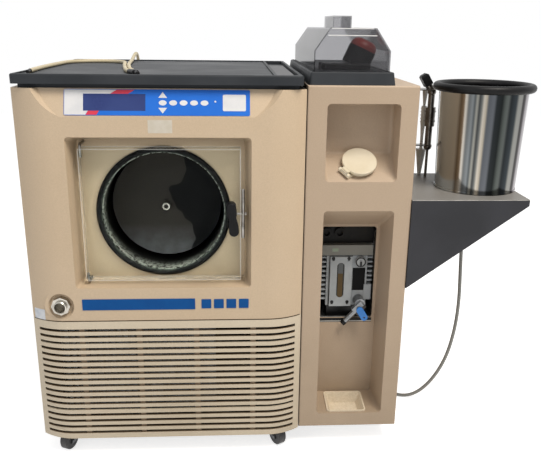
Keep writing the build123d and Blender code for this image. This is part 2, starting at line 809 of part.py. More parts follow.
# Drip tray: thin drafted tray that drops into the floor of the deep alcove on its own rim.
tray_wall = 1.6
tray_rim = 3.0
tray_taper = degrees(atan2(tray_drawn, tray_drop))
with BuildPart() as drip_tray:
    with BuildSketch(tray_floor(0)):
        RectangleRounded(tray_width, tray_depth_y, tray_corner + 2)
    extrude(amount=tray_rim)
    with BuildSketch(tray_floor(0)):
        RectangleRounded(*tray_hole, tray_corner)
    extrude(amount=-tray_drop, taper=tray_taper)
    with BuildSketch(tray_floor(tray_rim + 1)):
        RectangleRounded(tray_hole[0] + 2, tray_hole[1] + 2, tray_corner)
    extrude(amount=-(tray_rim + 1 + tray_drop - tray_wall), taper=tray_taper, mode=Mode.SUBTRACT)
write(drip_tray.part, "drip_tray")

# ================================================================ oil filler
# Filler neck on the sloped floor of the shallow alcove, with a hinge pin across its left side,
# and the round lid that folds over it.
lid_at = (seam + 125.0, 49.0)
lid_hinge_turn = 128.0
neck_radius = 33.0
neck_height = 9.0
neck_bore = 24.0
neck_depth = 5.0
hinge_out = 45.0
hinge_rise = 7.0
lid_pin_radius = 2.0
pin_half = 15.5
lug_width = 6.0
lug_radius = 5.0
barrel_half = 9.0
barrel_radius = 4.6


def filler_plane(lift):
    """Plane over the sloped floor with its origin under the lid's middle; its X runs from the
    hinge towards the middle of the lid."""
    slope = Vector(0, cos(upper_tilt), sin(upper_tilt))
    normal = Vector(0, -sin(upper_tilt), cos(upper_tilt))
    middle = Vector(lid_at[0], tower_front_y, upper_low) + slope * lid_at[1]
    turn = radians(lid_hinge_turn)
    out = Vector(sin(turn), 0, 0) + slope * -cos(turn)
    return Plane(middle + normal * lift, x_dir=out, z_dir=normal)


def across_hinge(along):
    """Plane square to the hinge pin: sketch X away from the hinge, Y up off the floor."""
    base = filler_plane(0)
    return Plane(base.origin + base.y_dir * along, x_dir=base.x_dir, z_dir=base.y_dir * -1)


with BuildPart() as fill_ring:
    with BuildSketch(filler_plane(0)):
        Circle(neck_radius)
    extrude(amount=neck_height)
    with BuildSketch(filler_plane(neck_height)):
        Circle(neck_bore)
    extrude(amount=-neck_depth, mode=Mode.SUBTRACT)
    for along in (-pin_half, pin_half - lug_width):
        with BuildSketch(across_hinge(along + lug_width)):
            with Locations((-hinge_out, hinge_rise)):
                Circle(lug_radius)
            with Locations(((-hinge_out - neck_radius + 8) / 2, hinge_rise / 2 - 0.5)):
                Rectangle(hinge_out - neck_radius + 8, hinge_rise - 1)
        extrude(amount=lug_width)
    with BuildSketch(across_hinge(pin_half)):
        with Locations((-hinge_out, hinge_rise)):
            Circle(lid_pin_radius)
    extrude(amount=2 * pin_half)
write(fill_ring.part, "fill_ring")

with BuildPart() as fill_lid:
    with BuildSketch(filler_plane(neck_height + gap)):
        Circle(lid_radius)
    extrude(amount=lid_thickness)
    fillet(fill_lid.faces().sort_by(Axis.Z)[-1].edges(), 2)
    with BuildSketch(across_hinge(barrel_half)):
        with Locations((-hinge_out, hinge_rise)):
            Circle(barrel_radius)
        with Locations(((-hinge_out - lid_radius + 6) / 2, neck_height + gap + lid_thickness / 2)):
            Rectangle(hinge_out - lid_radius + 6, lid_thickness - 1)
        with Locations((-hinge_out, hinge_rise + barrel_radius)):
            Rectangle(barrel_radius, barrel_radius)
    extrude(amount=2 * barrel_half)
    with BuildSketch(across_hinge(pin_half)):
        with Locations((-hinge_out, hinge_rise)):
            Circle(lid_pin_radius + running_clearance)
    extrude(amount=2 * pin_half, mode=Mode.SUBTRACT)
write(fill_lid.part, "fill_lid")

# ================================================================ cover, hood and mist filter
cover_left = seam + 4.0
tower_cover_top = tower_height + tower_cover_height
rib_height = 2.0
rib_width = 2.4
rib_inset = 7.9
lid_wall = 4.0
lid_draft = 10.0
tower_cover_mid = (cover_left + tower_cover_width / 2,
                   front + tower_setback + 4 + tower_cover_length / 2)
# Tower cover: drafted lid, hollow below, with a bead along its left border.
with BuildPart() as tower_cover:
    for inset, rise, mode in ((0, 0, Mode.ADD), (lid_wall, lid_wall, Mode.SUBTRACT)):
        with BuildSketch(Plane.XY.offset(tower_height)):
            with Locations(tower_cover_mid):
                RectangleRounded(tower_cover_width - 2 * inset, tower_cover_length - 2 * inset,
                                 8 - inset)
        extrude(amount=tower_cover_height - rise, taper=lid_draft, mode=mode)
    fillet(tower_cover.faces().sort_by(Axis.Z)[-1].edges(), 3)
    block(cover_left + rib_inset, cover_left + rib_inset + rib_width, front + tower_setback + 16,
          front + tower_cover_length + 8, tower_cover_top - 1, tower_cover_top + rib_height)
write(tower_cover.part, "tower_cover")

# Hood: thin clear moulding over the mist filter, upright below its shoulders and drawn in
# above them, open below, with an outlet box on its roof.
hood_x0 = seam + hood_left
hood_x1 = hood_x0 + hood_width
hood_mid = (hood_x0 + hood_x1) / 2
hood_y0 = front + hood_setback
hood_y1 = hood_y0 + hood_length
hood_base = tower_cover_top
hood_top = hood_base + hood_height
outlet_x = seam + 96.5
outlet_y0 = front + 205.0
with BuildPart() as hood:
    with BuildSketch(facing(hood_y0)):
        Polygon((hood_x0, hood_base), (hood_x1, hood_base), (hood_x1, hood_base + hood_shoulder),
                (hood_mid + hood_top_width / 2, hood_top), (hood_mid - hood_top_width / 2, hood_top),
                (hood_x0, hood_base + hood_shoulder), align=None)
    extrude(amount=-hood_length)
    offset(amount=-hood_wall, openings=hood.faces().sort_by(Axis.Z)[0])
    block(outlet_x - outlet_width / 2, outlet_x + outlet_width / 2, outlet_y0,
          outlet_y0 + outlet_length, hood_top - hood_wall, hood_top + outlet_height)
    block(outlet_x - outlet_width / 2 + hood_wall, outlet_x + outlet_width / 2 - hood_wall,
          outlet_y0 + hood_wall, outlet_y0 + outlet_length - hood_wall,
          hood_top - hood_wall - 1, hood_top + outlet_height - hood_wall, Mode.SUBTRACT)
write(hood.part, "hood")

# Mist filter: low black base and a canister leaning over to the right, with a red domed cap.
filter_x = seam + 118.0
filter_y = front + 140.0
filter_lean = 24.0
canister_radius = 31.0
canister_height = 40.0
base_height = 14.0
canister_foot = Plane(origin=(filter_x, filter_y, hood_base + base_height - 6),
                      x_dir=(cos(radians(filter_lean)), 0, -sin(radians(filter_lean))),
                      z_dir=(sin(radians(filter_lean)), 0, cos(radians(filter_lean))))
with BuildPart() as mist_filter:
    block(filter_x - 78, filter_x + 32, filter_y - 34, filter_y + 40, hood_base,
          hood_base + base_height)
    fillet(mist_filter.edges().filter_by(Axis.Z), 12)
    fillet(mist_filter.faces().sort_by(Axis.Z)[-1].edges(), 4)
    with BuildSketch(canister_foot):
        Circle(canister_radius)
    extrude(amount=canister_height)
    block(filter_x - 80, filter_x + 60, filter_y - 50, filter_y + 60, hood_base - 30, hood_base,
          Mode.SUBTRACT)
write(mist_filter.part, "mist_filter")

cap_dome = 20.0
with BuildPart() as mist_filter_cap:
    with BuildSketch(canister_foot.offset(canister_height)):
        Circle(canister_radius - 1)
    extrude(amount=cap_dome)
    fillet(mist_filter_cap.faces().sort_by(Axis(canister_foot.origin, canister_foot.z_dir))[-1].edges(),
           cap_dome - 2)
write(mist_filter_cap.part, "mist_filter_cap")

# ================================================================ refrigeration, low in the cabinet
pan_floor = caster_height + sheet
core_x0 = seam - 560.0
core_x1 = seam - 200.0
core_y0 = pan_front + 6.0
core_depth = 43.0
core_top = 340.0
fin_count = 24
fin_thickness = 1.2
shroud_radius = 108.0
shroud_wall = 3.0
duct_depth = 24.0
fan_z = (pan_floor + core_top) / 2
fan_mid = (core_x0 + core_x1) / 2
duct_y = core_y0 + core_depth
motor_y = duct_y + shroud_wall + duct_depth
motor_length = 48.0
motor_radius = 32.0
fan_shaft_radius = 4.0
# Condenser: finned block on the pan with a fan duct behind it, and the fan motor on four arms.
with BuildPart() as condenser_block:
    block(core_x0, core_x1, core_y0 + 14, core_y0 + 30, pan_floor, core_top)
    for index in range(fin_count):
        fin_x = core_x0 + 4 + index * (core_x1 - core_x0 - 8) / (fin_count - 1)
        block(fin_x - fin_thickness / 2, fin_x + fin_thickness / 2, core_y0, duct_y,
              pan_floor + 3, core_top - 3)
    block(core_x0, core_x1, duct_y, duct_y + shroud_wall, pan_floor, core_top)
    with BuildSketch(facing(duct_y)):
        with Locations((fan_mid, fan_z)):
            Circle(shroud_radius + shroud_wall)
    extrude(amount=-shroud_wall - duct_depth)
    with BuildSketch(facing(duct_y)):
        with Locations((fan_mid, fan_z)):
            Circle(shroud_radius)
    extrude(amount=-shroud_wall - duct_depth, mode=Mode.SUBTRACT)
    with BuildSketch(facing(motor_y)):
        with Locations((fan_mid, fan_z)):
            Rectangle(2 * shroud_radius + shroud_wall, 10)
            Rectangle(10, 2 * shroud_radius + shroud_wall)
            Circle(motor_radius)
    extrude(amount=-4)
    with BuildSketch(facing(motor_y)):
        with Locations((fan_mid, fan_z)):
            Circle(motor_radius)
    extrude(amount=-motor_length)
    with BuildSketch(facing(motor_y)):
        with Locations((fan_mid, fan_z)):
            Circle(fan_shaft_radius)
    extrude(amount=duct_depth - 4)
write(condenser_block.part, "condenser_block")

# Fan: five pitched blades on a hub that turns on the motor's shaft.
fan_hub_radius = 22.0
fan_hub_length = 16.0
fan_tip = shroud_radius - 5.0
blade_count = 5
blade_width = 46.0
blade_pitch = 20.0
blade_thickness = 1.6
hub_y = motor_y - 2.0
with BuildPart() as fan_blades:
    with BuildSketch(facing(hub_y)):
        with Locations((fan_mid, fan_z)):
            Circle(fan_hub_radius)
    extrude(amount=fan_hub_length)
    for index in range(blade_count):
        spoke = Location((fan_mid, hub_y - fan_hub_length / 2, fan_z), (90, 0, 0))
        spoke *= Location((0, 0, 0), (0, 0, index * 360 / blade_count))
        with Locations(spoke * Location(((fan_hub_radius + fan_tip) / 2 - 2, 0, 0), (blade_pitch, 0, 0))):
            Box(fan_tip - fan_hub_radius + 4, blade_width, blade_thickness)
    with BuildSketch(facing(hub_y + 1)):
        with Locations((fan_mid, fan_z)):
            Circle(fan_shaft_radius + running_clearance)
    extrude(amount=fan_hub_length + 4, mode=Mode.SUBTRACT)
write(fan_blades.part, "fan_blades")

# Compressor: welded steel can with rounded ends on a bolted foot plate.
can_x = seam - 170.0
can_y = front + 400.0
can_radius = 78.0
can_foot = 16.0
can_height = 185.0
with BuildPart() as compressor:
    block(can_x - 85, can_x + 85, can_y - 60, can_y + 60, pan_floor + can_foot - 3, pan_floor + can_foot)
    for x in (can_x - 72, can_x + 72):
        for y in (can_y - 48, can_y + 48):
            with Locations((x, y, pan_floor + can_foot / 2)):
                Cylinder(9, can_foot)
    with BuildSketch(Plane.XY.offset(pan_floor + can_foot - 4)):
        with Locations((can_x, can_y)):
            Circle(can_radius)
    extrude(amount=can_height)
    fillet(compressor.faces().sort_by(Axis.Z)[-1].edges(), 32)
write(compressor.part, "compressor")

# ================================================================ vacuum pump
# Deck: folded shelf inside the tower, with a bright lip behind the window's lower edge.
deck_z = 292.0
deck_fold = 22.0
deck_y0 = lower_back_y + tub_wall + gap
deck_y1 = front + 560.0
deck_lip = 12.0
with BuildPart() as pump_deck:
    block(seam + gap, pan_right, deck_y0, deck_y1, deck_z - deck_fold, deck_z)
    offset(amount=-sheet, openings=pump_deck.faces().sort_by(Axis.Z)[0])
    block(seam + window_left - 8, seam + window_right + 8, deck_y0, deck_y0 + sheet,
          deck_z - sheet, deck_z + deck_lip)
write(pump_deck.part, "pump_deck")

# Pump body: finned cast block on two feet, with the sight glass's frame on its face and a top
# bar under the port block.
pump_x0 = seam + 72.0
pump_x1 = seam + 172.0
pump_y0 = front + 136.0
pump_y1 = front + 330.0
pump_z0 = 330.0
pump_z1 = 462.0
fin_pitch = 12.0
fin_reach = 14.0
pump_fin = 4.0
pump_fins = 10
bar_z1 = 488.0
frame_x0 = seam + 80.0
frame_width = 54.0
frame_height = 129.0
frame_thickness = 8.0
slot_width = 18.0
slot_length = 91.0
slot_mid = (seam + 106.0, 398.5)
pump_screw = (19.0, 57.0)
ballast_at = (seam + 154.0, 446.0)
ballast_stem = 4.0
valve_at = (seam + 153.0, 345.0)
with BuildPart() as pump_body:
    block(pump_x0, pump_x1, pump_y0, pump_y1, pump_z0, pump_z1)
    for index in range(pump_fins):
        fin_z = pump_z0 + 14 + index * fin_pitch
        block(pump_x0 - fin_reach, pump_x1 + fin_reach, pump_y0 + 4, pump_y1 - 4, fin_z,
              fin_z + pump_fin)
    block(pump_x0 - 12, pump_x1 + 12, pump_y0 - 4, pump_y1, pump_z1, bar_z1)
    block(pump_x1 - 6, pump_x1 + 12, pump_y0 - 2, pump_y0 + 30, pump_z0 + 15, pump_z0 + 55)
    for y0 in (pump_y0 + 8, pump_y1 - 38):
        block(pump_x0 + 4, pump_x1 - 4, y0, y0 + 30, deck_z, pump_z0)
    block(frame_x0, frame_x0 + frame_width, pump_y0 - frame_thickness, pump_y0, pump_z0,
          pump_z0 + frame_height)
    with BuildSketch(facing(pump_y0 - frame_thickness)):
        with Locations(slot_mid):
            SlotOverall(slot_length, slot_width, rotation=90)
        with Locations((slot_mid[0], pump_z0 + frame_height / 2)):
            with GridLocations(2 * pump_screw[0], 2 * pump_screw[1], 2, 2):
                Circle(3)
    extrude(amount=-frame_thickness + 2, mode=Mode.SUBTRACT)
    with BuildSketch(facing(pump_y0 - 1)):
        with Locations(ballast_at):
            Circle(ballast_stem + running_clearance)
    extrude(amount=-14, mode=Mode.SUBTRACT)
write(pump_body.part, "pump_body")

# Sight glass: clear bar in the frame's slot.
with BuildPart() as sight_glass:
    with BuildSketch(facing(pump_y0 - 2)):
        with Locations(slot_mid):
            SlotOverall(slot_length - gap, slot_width - gap, rotation=90)
    extrude(amount=frame_thickness - 4)
write(sight_glass.part, "sight_glass")

# Gas ballast knob: short round knob with a raised pointer, on a stem in the pump.
ballast_radius = 13.0
ballast_depth = 10.0
with BuildPart() as ballast_knob:
    with BuildSketch(facing(pump_y0 - gap)):
        with Locations(ballast_at):
            Circle(ballast_radius)
    extrude(amount=ballast_depth)
    with BuildSketch(facing(pump_y0 - gap - ballast_depth)):
        with Locations((ballast_at[0], ballast_at[1] - 4)):
            Rectangle(5, 16)
    extrude(amount=3)
    with BuildSketch(facing(pump_y0 - gap)):
        with Locations(ballast_at):
            Circle(ballast_stem)
    extrude(amount=-12)
write(ballast_knob.part, "ballast_knob")

# Port block: dark casting on the top bar, with two ports in front and the hose stub behind.
with BuildPart() as pump_port_block:
    block(pump_x0 - 14, pump_x1 + 16, pump_y0 + 14, pump_y1, bar_z1, bar_z1 + 52)
    with BuildSketch(facing(pump_y0 + 14)):
        with Locations((pump_x0 - 2, bar_z1 + 28), (pump_x0 + 30, bar_z1 + 28)):
            Circle(12)
            Circle(8, mode=Mode.SUBTRACT)
    extrude(amount=8)
    with BuildSketch(Plane.XY.offset(bar_z1 + 52)):
        with Locations((pump_x0 + 60, pump_y0 + 120)):
            Circle(20)
            Circle(16, mode=Mode.SUBTRACT)
    extrude(amount=40)
write(pump_port_block.part, "pump_port_block")

# Pump motor: round housing along the pump, with a terminal box on its top.
pump_motor_radius = 62.0
pump_motor_z = 410.0
pump_motor_length = 190.0
pump_mid = (pump_x0 + pump_x1) / 2
with BuildPart() as pump_motor:
    with BuildSketch(facing(pump_y1)):
        with Locations((pump_mid, pump_motor_z)):
            Circle(pump_motor_radius)
    extrude(amount=-pump_motor_length)
    fillet(pump_motor.faces().sort_by(Axis.Y)[-1].edges(), 12)
    block(pump_mid - 30, pump_mid + 30, pump_y1 + 40, pump_y1 + 120, pump_motor_z + 40,
          pump_motor_z + pump_motor_radius + 18)
    for y0 in (pump_y1 + 30, pump_y1 + 130):
        block(pump_mid - 40, pump_mid + 40, y0, y0 + 20, deck_z, pump_motor_z - 40)
write(pump_motor.part, "pump_motor")

# Drain valve: boss out of the pump, and a ball valve across its end whose spout points down
# and to the left.
spout_turn = radians(43)
spout = Vector(-sin(spout_turn), 0, -cos(spout_turn))
valve_y = front + 104.0
valve_axis = Vector(valve_at[0] - 3, valve_y, valve_at[1] - 9)
valve_radius = 11.0
valve_half = 15.0
spout_radius = 6.5
spout_end = 57.0
lever_pin = 3.5
with BuildPart() as drain_valve:
    with BuildSketch(facing(pump_y0)):
        with Locations(valve_at):
            Circle(13)
    extrude(amount=pump_y0 - valve_y)
    with BuildSketch(Plane(origin=valve_axis - spout * valve_half, x_dir=(0, 1, 0), z_dir=spout)):
        RegularPolygon(valve_radius + 1, 6)
    extrude(amount=2 * valve_half)
    with BuildSketch(Plane(origin=valve_axis, x_dir=(0, 1, 0), z_dir=spout)):
        Circle(spout_radius)
    extrude(amount=spout_end)
    with BuildSketch(Plane(origin=valve_axis, x_dir=(0, 1, 0), z_dir=spout)):
        Circle(spout_radius - 2)
    extrude(amount=spout_end, mode=Mode.SUBTRACT)
    with BuildSketch(facing(valve_y)):
        with Locations((valve_axis.X, valve_axis.Z)):
            Circle(7)
    extrude(amount=valve_radius + 4)
    with BuildSketch(facing(valve_y)):
        with Locations((valve_axis.X, valve_axis.Z)):
            Circle(lever_pin + running_clearance)
    extrude(amount=valve_radius + 5, mode=Mode.SUBTRACT)
write(drain_valve.part, "drain_valve")

# Drain lever: flat blue handle on the valve's stem.
lever_y = valve_y - valve_radius - 4 - gap
lever_width = 17.0
lever_length = 38.0
lever_thickness = 5.0
lever_turn = 31.5
with BuildPart() as drain_lever:
    with BuildSketch(facing(lever_y)):
        with Locations(Location((valve_axis.X, valve_axis.Z), lever_turn)):
            with Locations((0, -lever_length / 2 + lever_width / 2)):
                SlotOverall(lever_length, lever_width, rotation=90)
            with Locations((0, lever_width - lever_length)):
                Circle(2.2, mode=Mode.SUBTRACT)
    extrude(amount=lever_thickness)
    with BuildSketch(facing(lever_y)):
        with Locations((valve_axis.X, valve_axis.Z)):
            Circle(lever_pin)
    extrude(amount=-12)
write(drain_lever.part, "drain_lever")

# ================================================================ side shelf, drum and manifold
shelf_y0 = front + 27.5
shelf_y1 = shelf_y0 + shelf_depth
shelf_top = shelf_height
# Shelf: one folded sheet with a flange on the tower, two gussets and a lip at its outer end.
with BuildPart() as shelf:
    with BuildSketch(facing(shelf_y1)):
        Polygon((tower_right, shelf_top), (shelf_end, shelf_top), (shelf_end, shelf_top - shelf_lip),
                (tower_right, shelf_top - shelf_root), align=None)
    extrude(amount=shelf_depth)
    with BuildSketch(facing(shelf_y1 - sheet)):
        Polygon((tower_right + sheet, shelf_top - sheet), (shelf_end - sheet, shelf_top - sheet),
                (shelf_end - sheet, shelf_top - shelf_lip - shelf_root),
                (tower_right + sheet, shelf_top - 2 * shelf_root), align=None)
    extrude(amount=shelf_depth - 2 * sheet, mode=Mode.SUBTRACT)
write(shelf.part, "shelf")

# Drum: rolled stainless bin that widens upwards, open on top, with a bead round its foot.
drum_x = tower_right + drum_out
drum_y = front + drum_setback
drum_top = shelf_top + drum_height
drum_flare = -degrees(atan((drum_radius - drum_foot_radius) / drum_height))
bead_radius = 2.5
with BuildPart() as drum:
    with BuildSketch(Plane.XY.offset(shelf_top)):
        with Locations((drum_x, drum_y)):
            Circle(drum_foot_radius)
    extrude(amount=drum_height, taper=drum_flare)
    with BuildSketch(Plane.XY.offset(shelf_top)):
        with Locations((drum_x, drum_y)):
            Circle(drum_foot_radius + bead_radius / 2)
    extrude(amount=2 * bead_radius)
    fillet(drum.faces().sort_by(Axis.Z)[0].edges(), 2)
    with BuildSketch(Plane.XY.offset(shelf_top + 2 * bead_radius)):
        with Locations((drum_x, drum_y)):
            Circle(drum_foot_radius - drum_wall)
    extrude(amount=drum_height, taper=drum_flare, mode=Mode.SUBTRACT)
write(drum.part, "drum")

# Drum ring: fat rubber ring pushed over the rim.
ring_rise = 1.5
ring_z = drum_top + ring_rise
with BuildPart() as drum_ring:
    with Locations((drum_x, drum_y, ring_z)):
        Torus(ring_radius, drum_ring_radius)
    with BuildSketch(Plane.XY.offset(drum_top + gap)):
        with Locations((drum_x, drum_y)):
            Circle(drum_radius + gap)
            Circle(drum_radius - drum_wall - 2 * gap, mode=Mode.SUBTRACT)
    extrude(amount=-2 * drum_ring_radius, mode=Mode.SUBTRACT)
write(drum_ring.part, "drum_ring")

# Manifold: two plates out of the tower's side that carry a column of glass fittings and a
# plug valve, with a foot rod down to the shelf.
column_x = tower_right + 96.5
column_y = front + 272.0
plate_thickness = 2.5
upper_plate_z = 846.0
lower_plate_z = 708.0
column = ((831.0, 8.0), (804.0, 12.5), (757.0, 8.5), (712.0, 0.0))
elbow_radius = 10.5
valve_lean = radians(31.5)
valve_up = Vector(-sin(valve_lean), 0, cos(valve_lean))
valve_seat = Vector(column_x - 4, column_y, upper_plate_z + 3.0)
valve_boss = 11.0
knob_pin = 4.0
collar_heights = (794.0, 770.0)
with BuildPart() as manifold_pipe:
    block(tower_right, column_x + 4, column_y - 14, column_y + 36, upper_plate_z,
          upper_plate_z + plate_thickness)
    block(tower_right, column_x + 6, column_y - 14, column_y + 12, lower_plate_z,
          lower_plate_z + plate_thickness)
    with Locations((column_x, column_y, upper_plate_z - 4), (column_x, column_y, lower_plate_z - 2)):
        Sphere(elbow_radius)
    for (z1, radius), (z0, _) in zip(column, column[1:]):
        with Locations((column_x, column_y, (z1 + z0) / 2)):
            Cylinder(radius, z1 - z0)
    for z in collar_heights:
        with Locations((column_x, column_y, z)):
            Cylinder(14, 3)
    with Locations((column_x, column_y, (upper_plate_z + column[0][0]) / 2)):
        Cylinder(column[0][1], upper_plate_z - column[0][0])
    with Locations((column_x, column_y, (shelf_top + lower_plate_z) / 2)):
        Cylinder(3.5, lower_plate_z - shelf_top)
    with BuildSketch(Plane(origin=valve_seat - valve_up * 6, x_dir=(0, 1, 0), z_dir=valve_up)):
        Circle(9)
    extrude(amount=valve_boss + 6)
    with BuildSketch(Plane(origin=valve_seat + valve_up * (valve_boss + 1), x_dir=(0, 1, 0),
                           z_dir=valve_up)):
        Circle(knob_pin + running_clearance)
    extrude(amount=-12, mode=Mode.SUBTRACT)
write(manifold_pipe.part, "manifold_pipe")

# Valve knob: moulded block with cut flanks and a chamfered top, on a stem in the valve.
knob_size = (24.0, 20.0, 29.5)
knob_seat = valve_seat + valve_up * (valve_boss + gap)
with BuildPart() as valve_knob:
    with BuildSketch(Plane(origin=knob_seat, x_dir=(0, 1, 0), z_dir=valve_up)):
        Rectangle(knob_size[0], knob_size[1])
    extrude(amount=knob_size[2])
    chamfer(valve_knob.faces().sort_by(Axis((0, 0, 0), valve_up))[-1].edges(), 4)
    with BuildSketch(Plane(origin=knob_seat, x_dir=(0, 1, 0), z_dir=valve_up)):
        Circle(knob_pin)
    extrude(amount=-10)
write(valve_knob.part, "valve_knob")

# Adaptor: translucent moulded fitting beside the column, from the upper plate to the shelf:
# thin at the plate, ribbed in the middle, and a long cone below.
adaptor_x = tower_right + 88.0
adaptor_y = column_y + 28.0
rib_top = 798.0
rib_pitch = 8.5
adaptor_steps = ((upper_plate_z, 7.5, 3.0), (804.0, 6.5, 6.5), (757.0, 6.0, 4.0), (727.0, 4.0, 4.0),
                 (695.0, 13.0, 4.5))
with BuildPart() as manifold_adaptor:
    ends = [step[0] for step in adaptor_steps[1:]] + [shelf_top]
    for (z1, top_radius, low_radius), z0 in zip(adaptor_steps, ends):
        with Locations((adaptor_x, adaptor_y, (z1 + z0) / 2)):
            if top_radius == low_radius:
                Cylinder(top_radius, z1 - z0)
            else:
                Cone(low_radius, top_radius, z1 - z0)
    for rib in range(5):
        with Locations((adaptor_x, adaptor_y, rib_top - rib * rib_pitch)):
            Cylinder(8, 2.5)
write(manifold_adaptor.part, "manifold_adaptor")

# ================================================================ casters
# Fork: pressed crown with two cheeks and the axle through them; the swivelling ones have a
# stem in the pan's race.
fork_sheet = 3.0
fork_top = race_z - 0.2
cheek_x = wheel_width / 2 + 0.4
axle_radius = 3.0
swivel_turns = (157.0, -150.0)


def fork(x, y, turn, top, stem):
    """One caster fork under a place of the pan, turned about its stem."""
    with BuildPart() as one:
        for side in (-1, 1):
            with BuildSketch(from_side(side * (cheek_x + fork_sheet / 2) - fork_sheet / 2)):
                Polygon((-17, top), (19, top), (caster_trail + 8, wheel_radius - 8),
                        (caster_trail - 8, wheel_radius - 8), align=None)
            extrude(amount=fork_sheet)
        with BuildSketch(Plane.XY.offset(top - fork_sheet)):
            with Locations((0, 1)):
                Rectangle(2 * (cheek_x + fork_sheet), 36)
        extrude(amount=fork_sheet)
        with BuildSketch(from_side(-cheek_x - fork_sheet - 2)):
            with Locations((caster_trail, wheel_radius)):
                Circle(axle_radius)
        extrude(amount=2 * (cheek_x + fork_sheet + 2))
        if stem:
            with BuildSketch(Plane.XY.offset(top)):
                Circle(stem_radius)
            extrude(amount=stem)
    return one.part.rotate(Axis.Z, turn).moved(Location((x, y, 0)))


def wheel(x, y, turn):
    """One wheel in its fork: rubber tread with hollowed faces round the hub."""
    with BuildPart() as one:
        with BuildSketch(from_side(-wheel_width / 2)):
            with Locations((caster_trail, wheel_radius)):
                Circle(wheel_radius)
        extrude(amount=wheel_width)
        chamfer(one.faces().filter_by(Axis.X).edges(), 2)
        with BuildSketch(from_side(-wheel_width / 2 - 1)):
            with Locations((caster_trail, wheel_radius)):
                Circle(axle_radius + running_clearance)
        extrude(amount=wheel_width + 2, mode=Mode.SUBTRACT)
    return one.part.rotate(Axis.Z, turn).moved(Location((x, y, 0)))


front_names = ("left_front", "right_front")
for (x, y), turn, name in zip(caster_places[:2], swivel_turns, front_names):
    write(fork(x, y, turn, fork_top, stem_length - 1), f"{name}_fork")
    write(wheel(x, y, turn), f"{name}_wheel")
with BuildPart() as rear_forks:
    for x, y in caster_places[2:]:
        add(fork(x, y, 0, race_z, 0))
write(rear_forks.part, "rear_forks")
for (x, y), name in zip(caster_places[2:], ("left_rear", "right_rear")):
    write(wheel(x, y, 0), f"{name}_wheel")

# ================================================================ leads
# Each lead is a round tube along a hand-chosen route of straight runs, joined by arcs as large
# as the runs allow.
lead_radius = 4.5
on_floor = 4.6
on_cover = cover_low + cover_thickness - cover_dish + 4.7
lead_route = [(430, 216, 594), (430, 216, 495), (437, 219, 392), (443, 220, 292), (438, 221, 205),
              (421, 222, 124), (386, 225, 55), (344, 231, 13), (300, 243, on_floor),
              (275, 287, on_floor), (268, 368, on_floor), (265, 466, on_floor),
              (259, 560, on_floor), (238, 604, on_floor), (200, 620.5, on_floor),
              (159, 620, on_floor)]
probe_route = [(-438, 612, 806), (-438, 654, 806), (-437, 685, 838), (-437, 684, 882),
               (-436, 652, 912), (-435, 602, 913), (-432, 547, 906), (-428, 484, on_cover),
               (-423, 416, on_cover), (-414, 338, on_cover), (-403, 261, on_cover),
               (-390, 184, on_cover), (-376.4, 112, on_cover), (-363.82, 76.84, on_cover)]
sensor_route = [(-374.18, 73.16, on_cover), (-386.6, 108, on_cover), (-400, 184, on_cover),
                (-413, 261, on_cover), (-425, 338, on_cover), (-435, 419, on_cover),
                (-463.3, 457.9, on_cover), (-509, 472.8, on_cover), (-554.7, 457.9, on_cover),
                (-582, 419, on_cover), (-584, 340, on_cover), (-586, 262, on_cover),
                (-585, 185, on_cover), (-582, 110, on_cover), (-578, 64, on_cover)]


def placed(route):
    """Route from the seam and the cabinet's front, in the machine's own frame."""
    return [Vector(x + seam, y + front, z) for x, y, z in route]


def lead_tube(route, label):
    """Round tube along a route; prints its radii, length and volume."""
    points = placed(route)
    runs = [b - a for a, b in zip(points, points[1:])]
    radii = []
    for before, after in zip(runs, runs[1:]):
        half_turn = radians(before.get_angle(after)) / 2
        radii.append(0.45 * min(before.length, after.length) / tan(half_turn))
    with BuildPart() as tube:
        with BuildLine() as path:
            FilletPolyline(*points, radius=radii)
        with BuildSketch(Plane(origin=points[0], z_dir=runs[0])):
            Circle(lead_radius)
        sweep(path=path.line)
    length = sum(edge.length for edge in path.edges())
    print(label, "radii", [round(radius) for radius in radii], "runs", [round(run.length) for run in runs])
    print(label, "length", round(length), "volume ratio",
          round(tube.part.volume / (length * pi * lead_radius**2), 3))
    write(tube.part, label)


lead_tube(lead_route, "lead")
lead_tube(probe_route, "probe_lead")
lead_tube(sensor_route, "sensor_lead")

# Strain reliefs: a gland under the shelf for the power lead and one on the rear panel for the
# probe lead, each a nut and a tapered sleeve.
sleeve_length = 22.0
nut_radius = 12.0
with BuildPart() as strain_reliefs:
    shelf_gland = Plane(origin=placed(lead_route)[0], x_dir=(1, 0, 0), z_dir=(0, 0, 1))
    rear_gland = Plane(origin=placed(probe_route)[0], x_dir=(1, 0, 0), z_dir=(0, -1, 0))
    depths = (shelf_top - sheet - lead_route[0][2], placed(probe_route)[0].Y - back)
    for end, depth in zip((shelf_gland, rear_gland), depths):
        with BuildSketch(end):
            Circle(lead_radius + 1.5)
        with BuildSketch(end.offset(depth - 5)):
            Circle(lead_radius + 4)
        loft()
        with BuildSketch(end.offset(depth - 5)):
            RegularPolygon(nut_radius, 6)
        extrude(amount=5)
write(strain_reliefs.part, "strain_reliefs")

# Coil: the put-away length of the power lead, wound behind the tower.
coil_mid = placed([(120, 670, 0)])[0]
coil_radius = 50.0
coil_half = 9.0
with BuildPart() as lead_coil:
    with BuildSketch(Plane.XY.offset(0.1)):
        with Locations((coil_mid.X, coil_mid.Y)):
            Circle(coil_radius + coil_half)
            Circle(coil_radius - coil_half, mode=Mode.SUBTRACT)
    extrude(amount=2 * coil_half)
    fillet(lead_coil.edges().filter_by(GeomType.CIRCLE), 4)
write(lead_coil.part, "lead_coil")

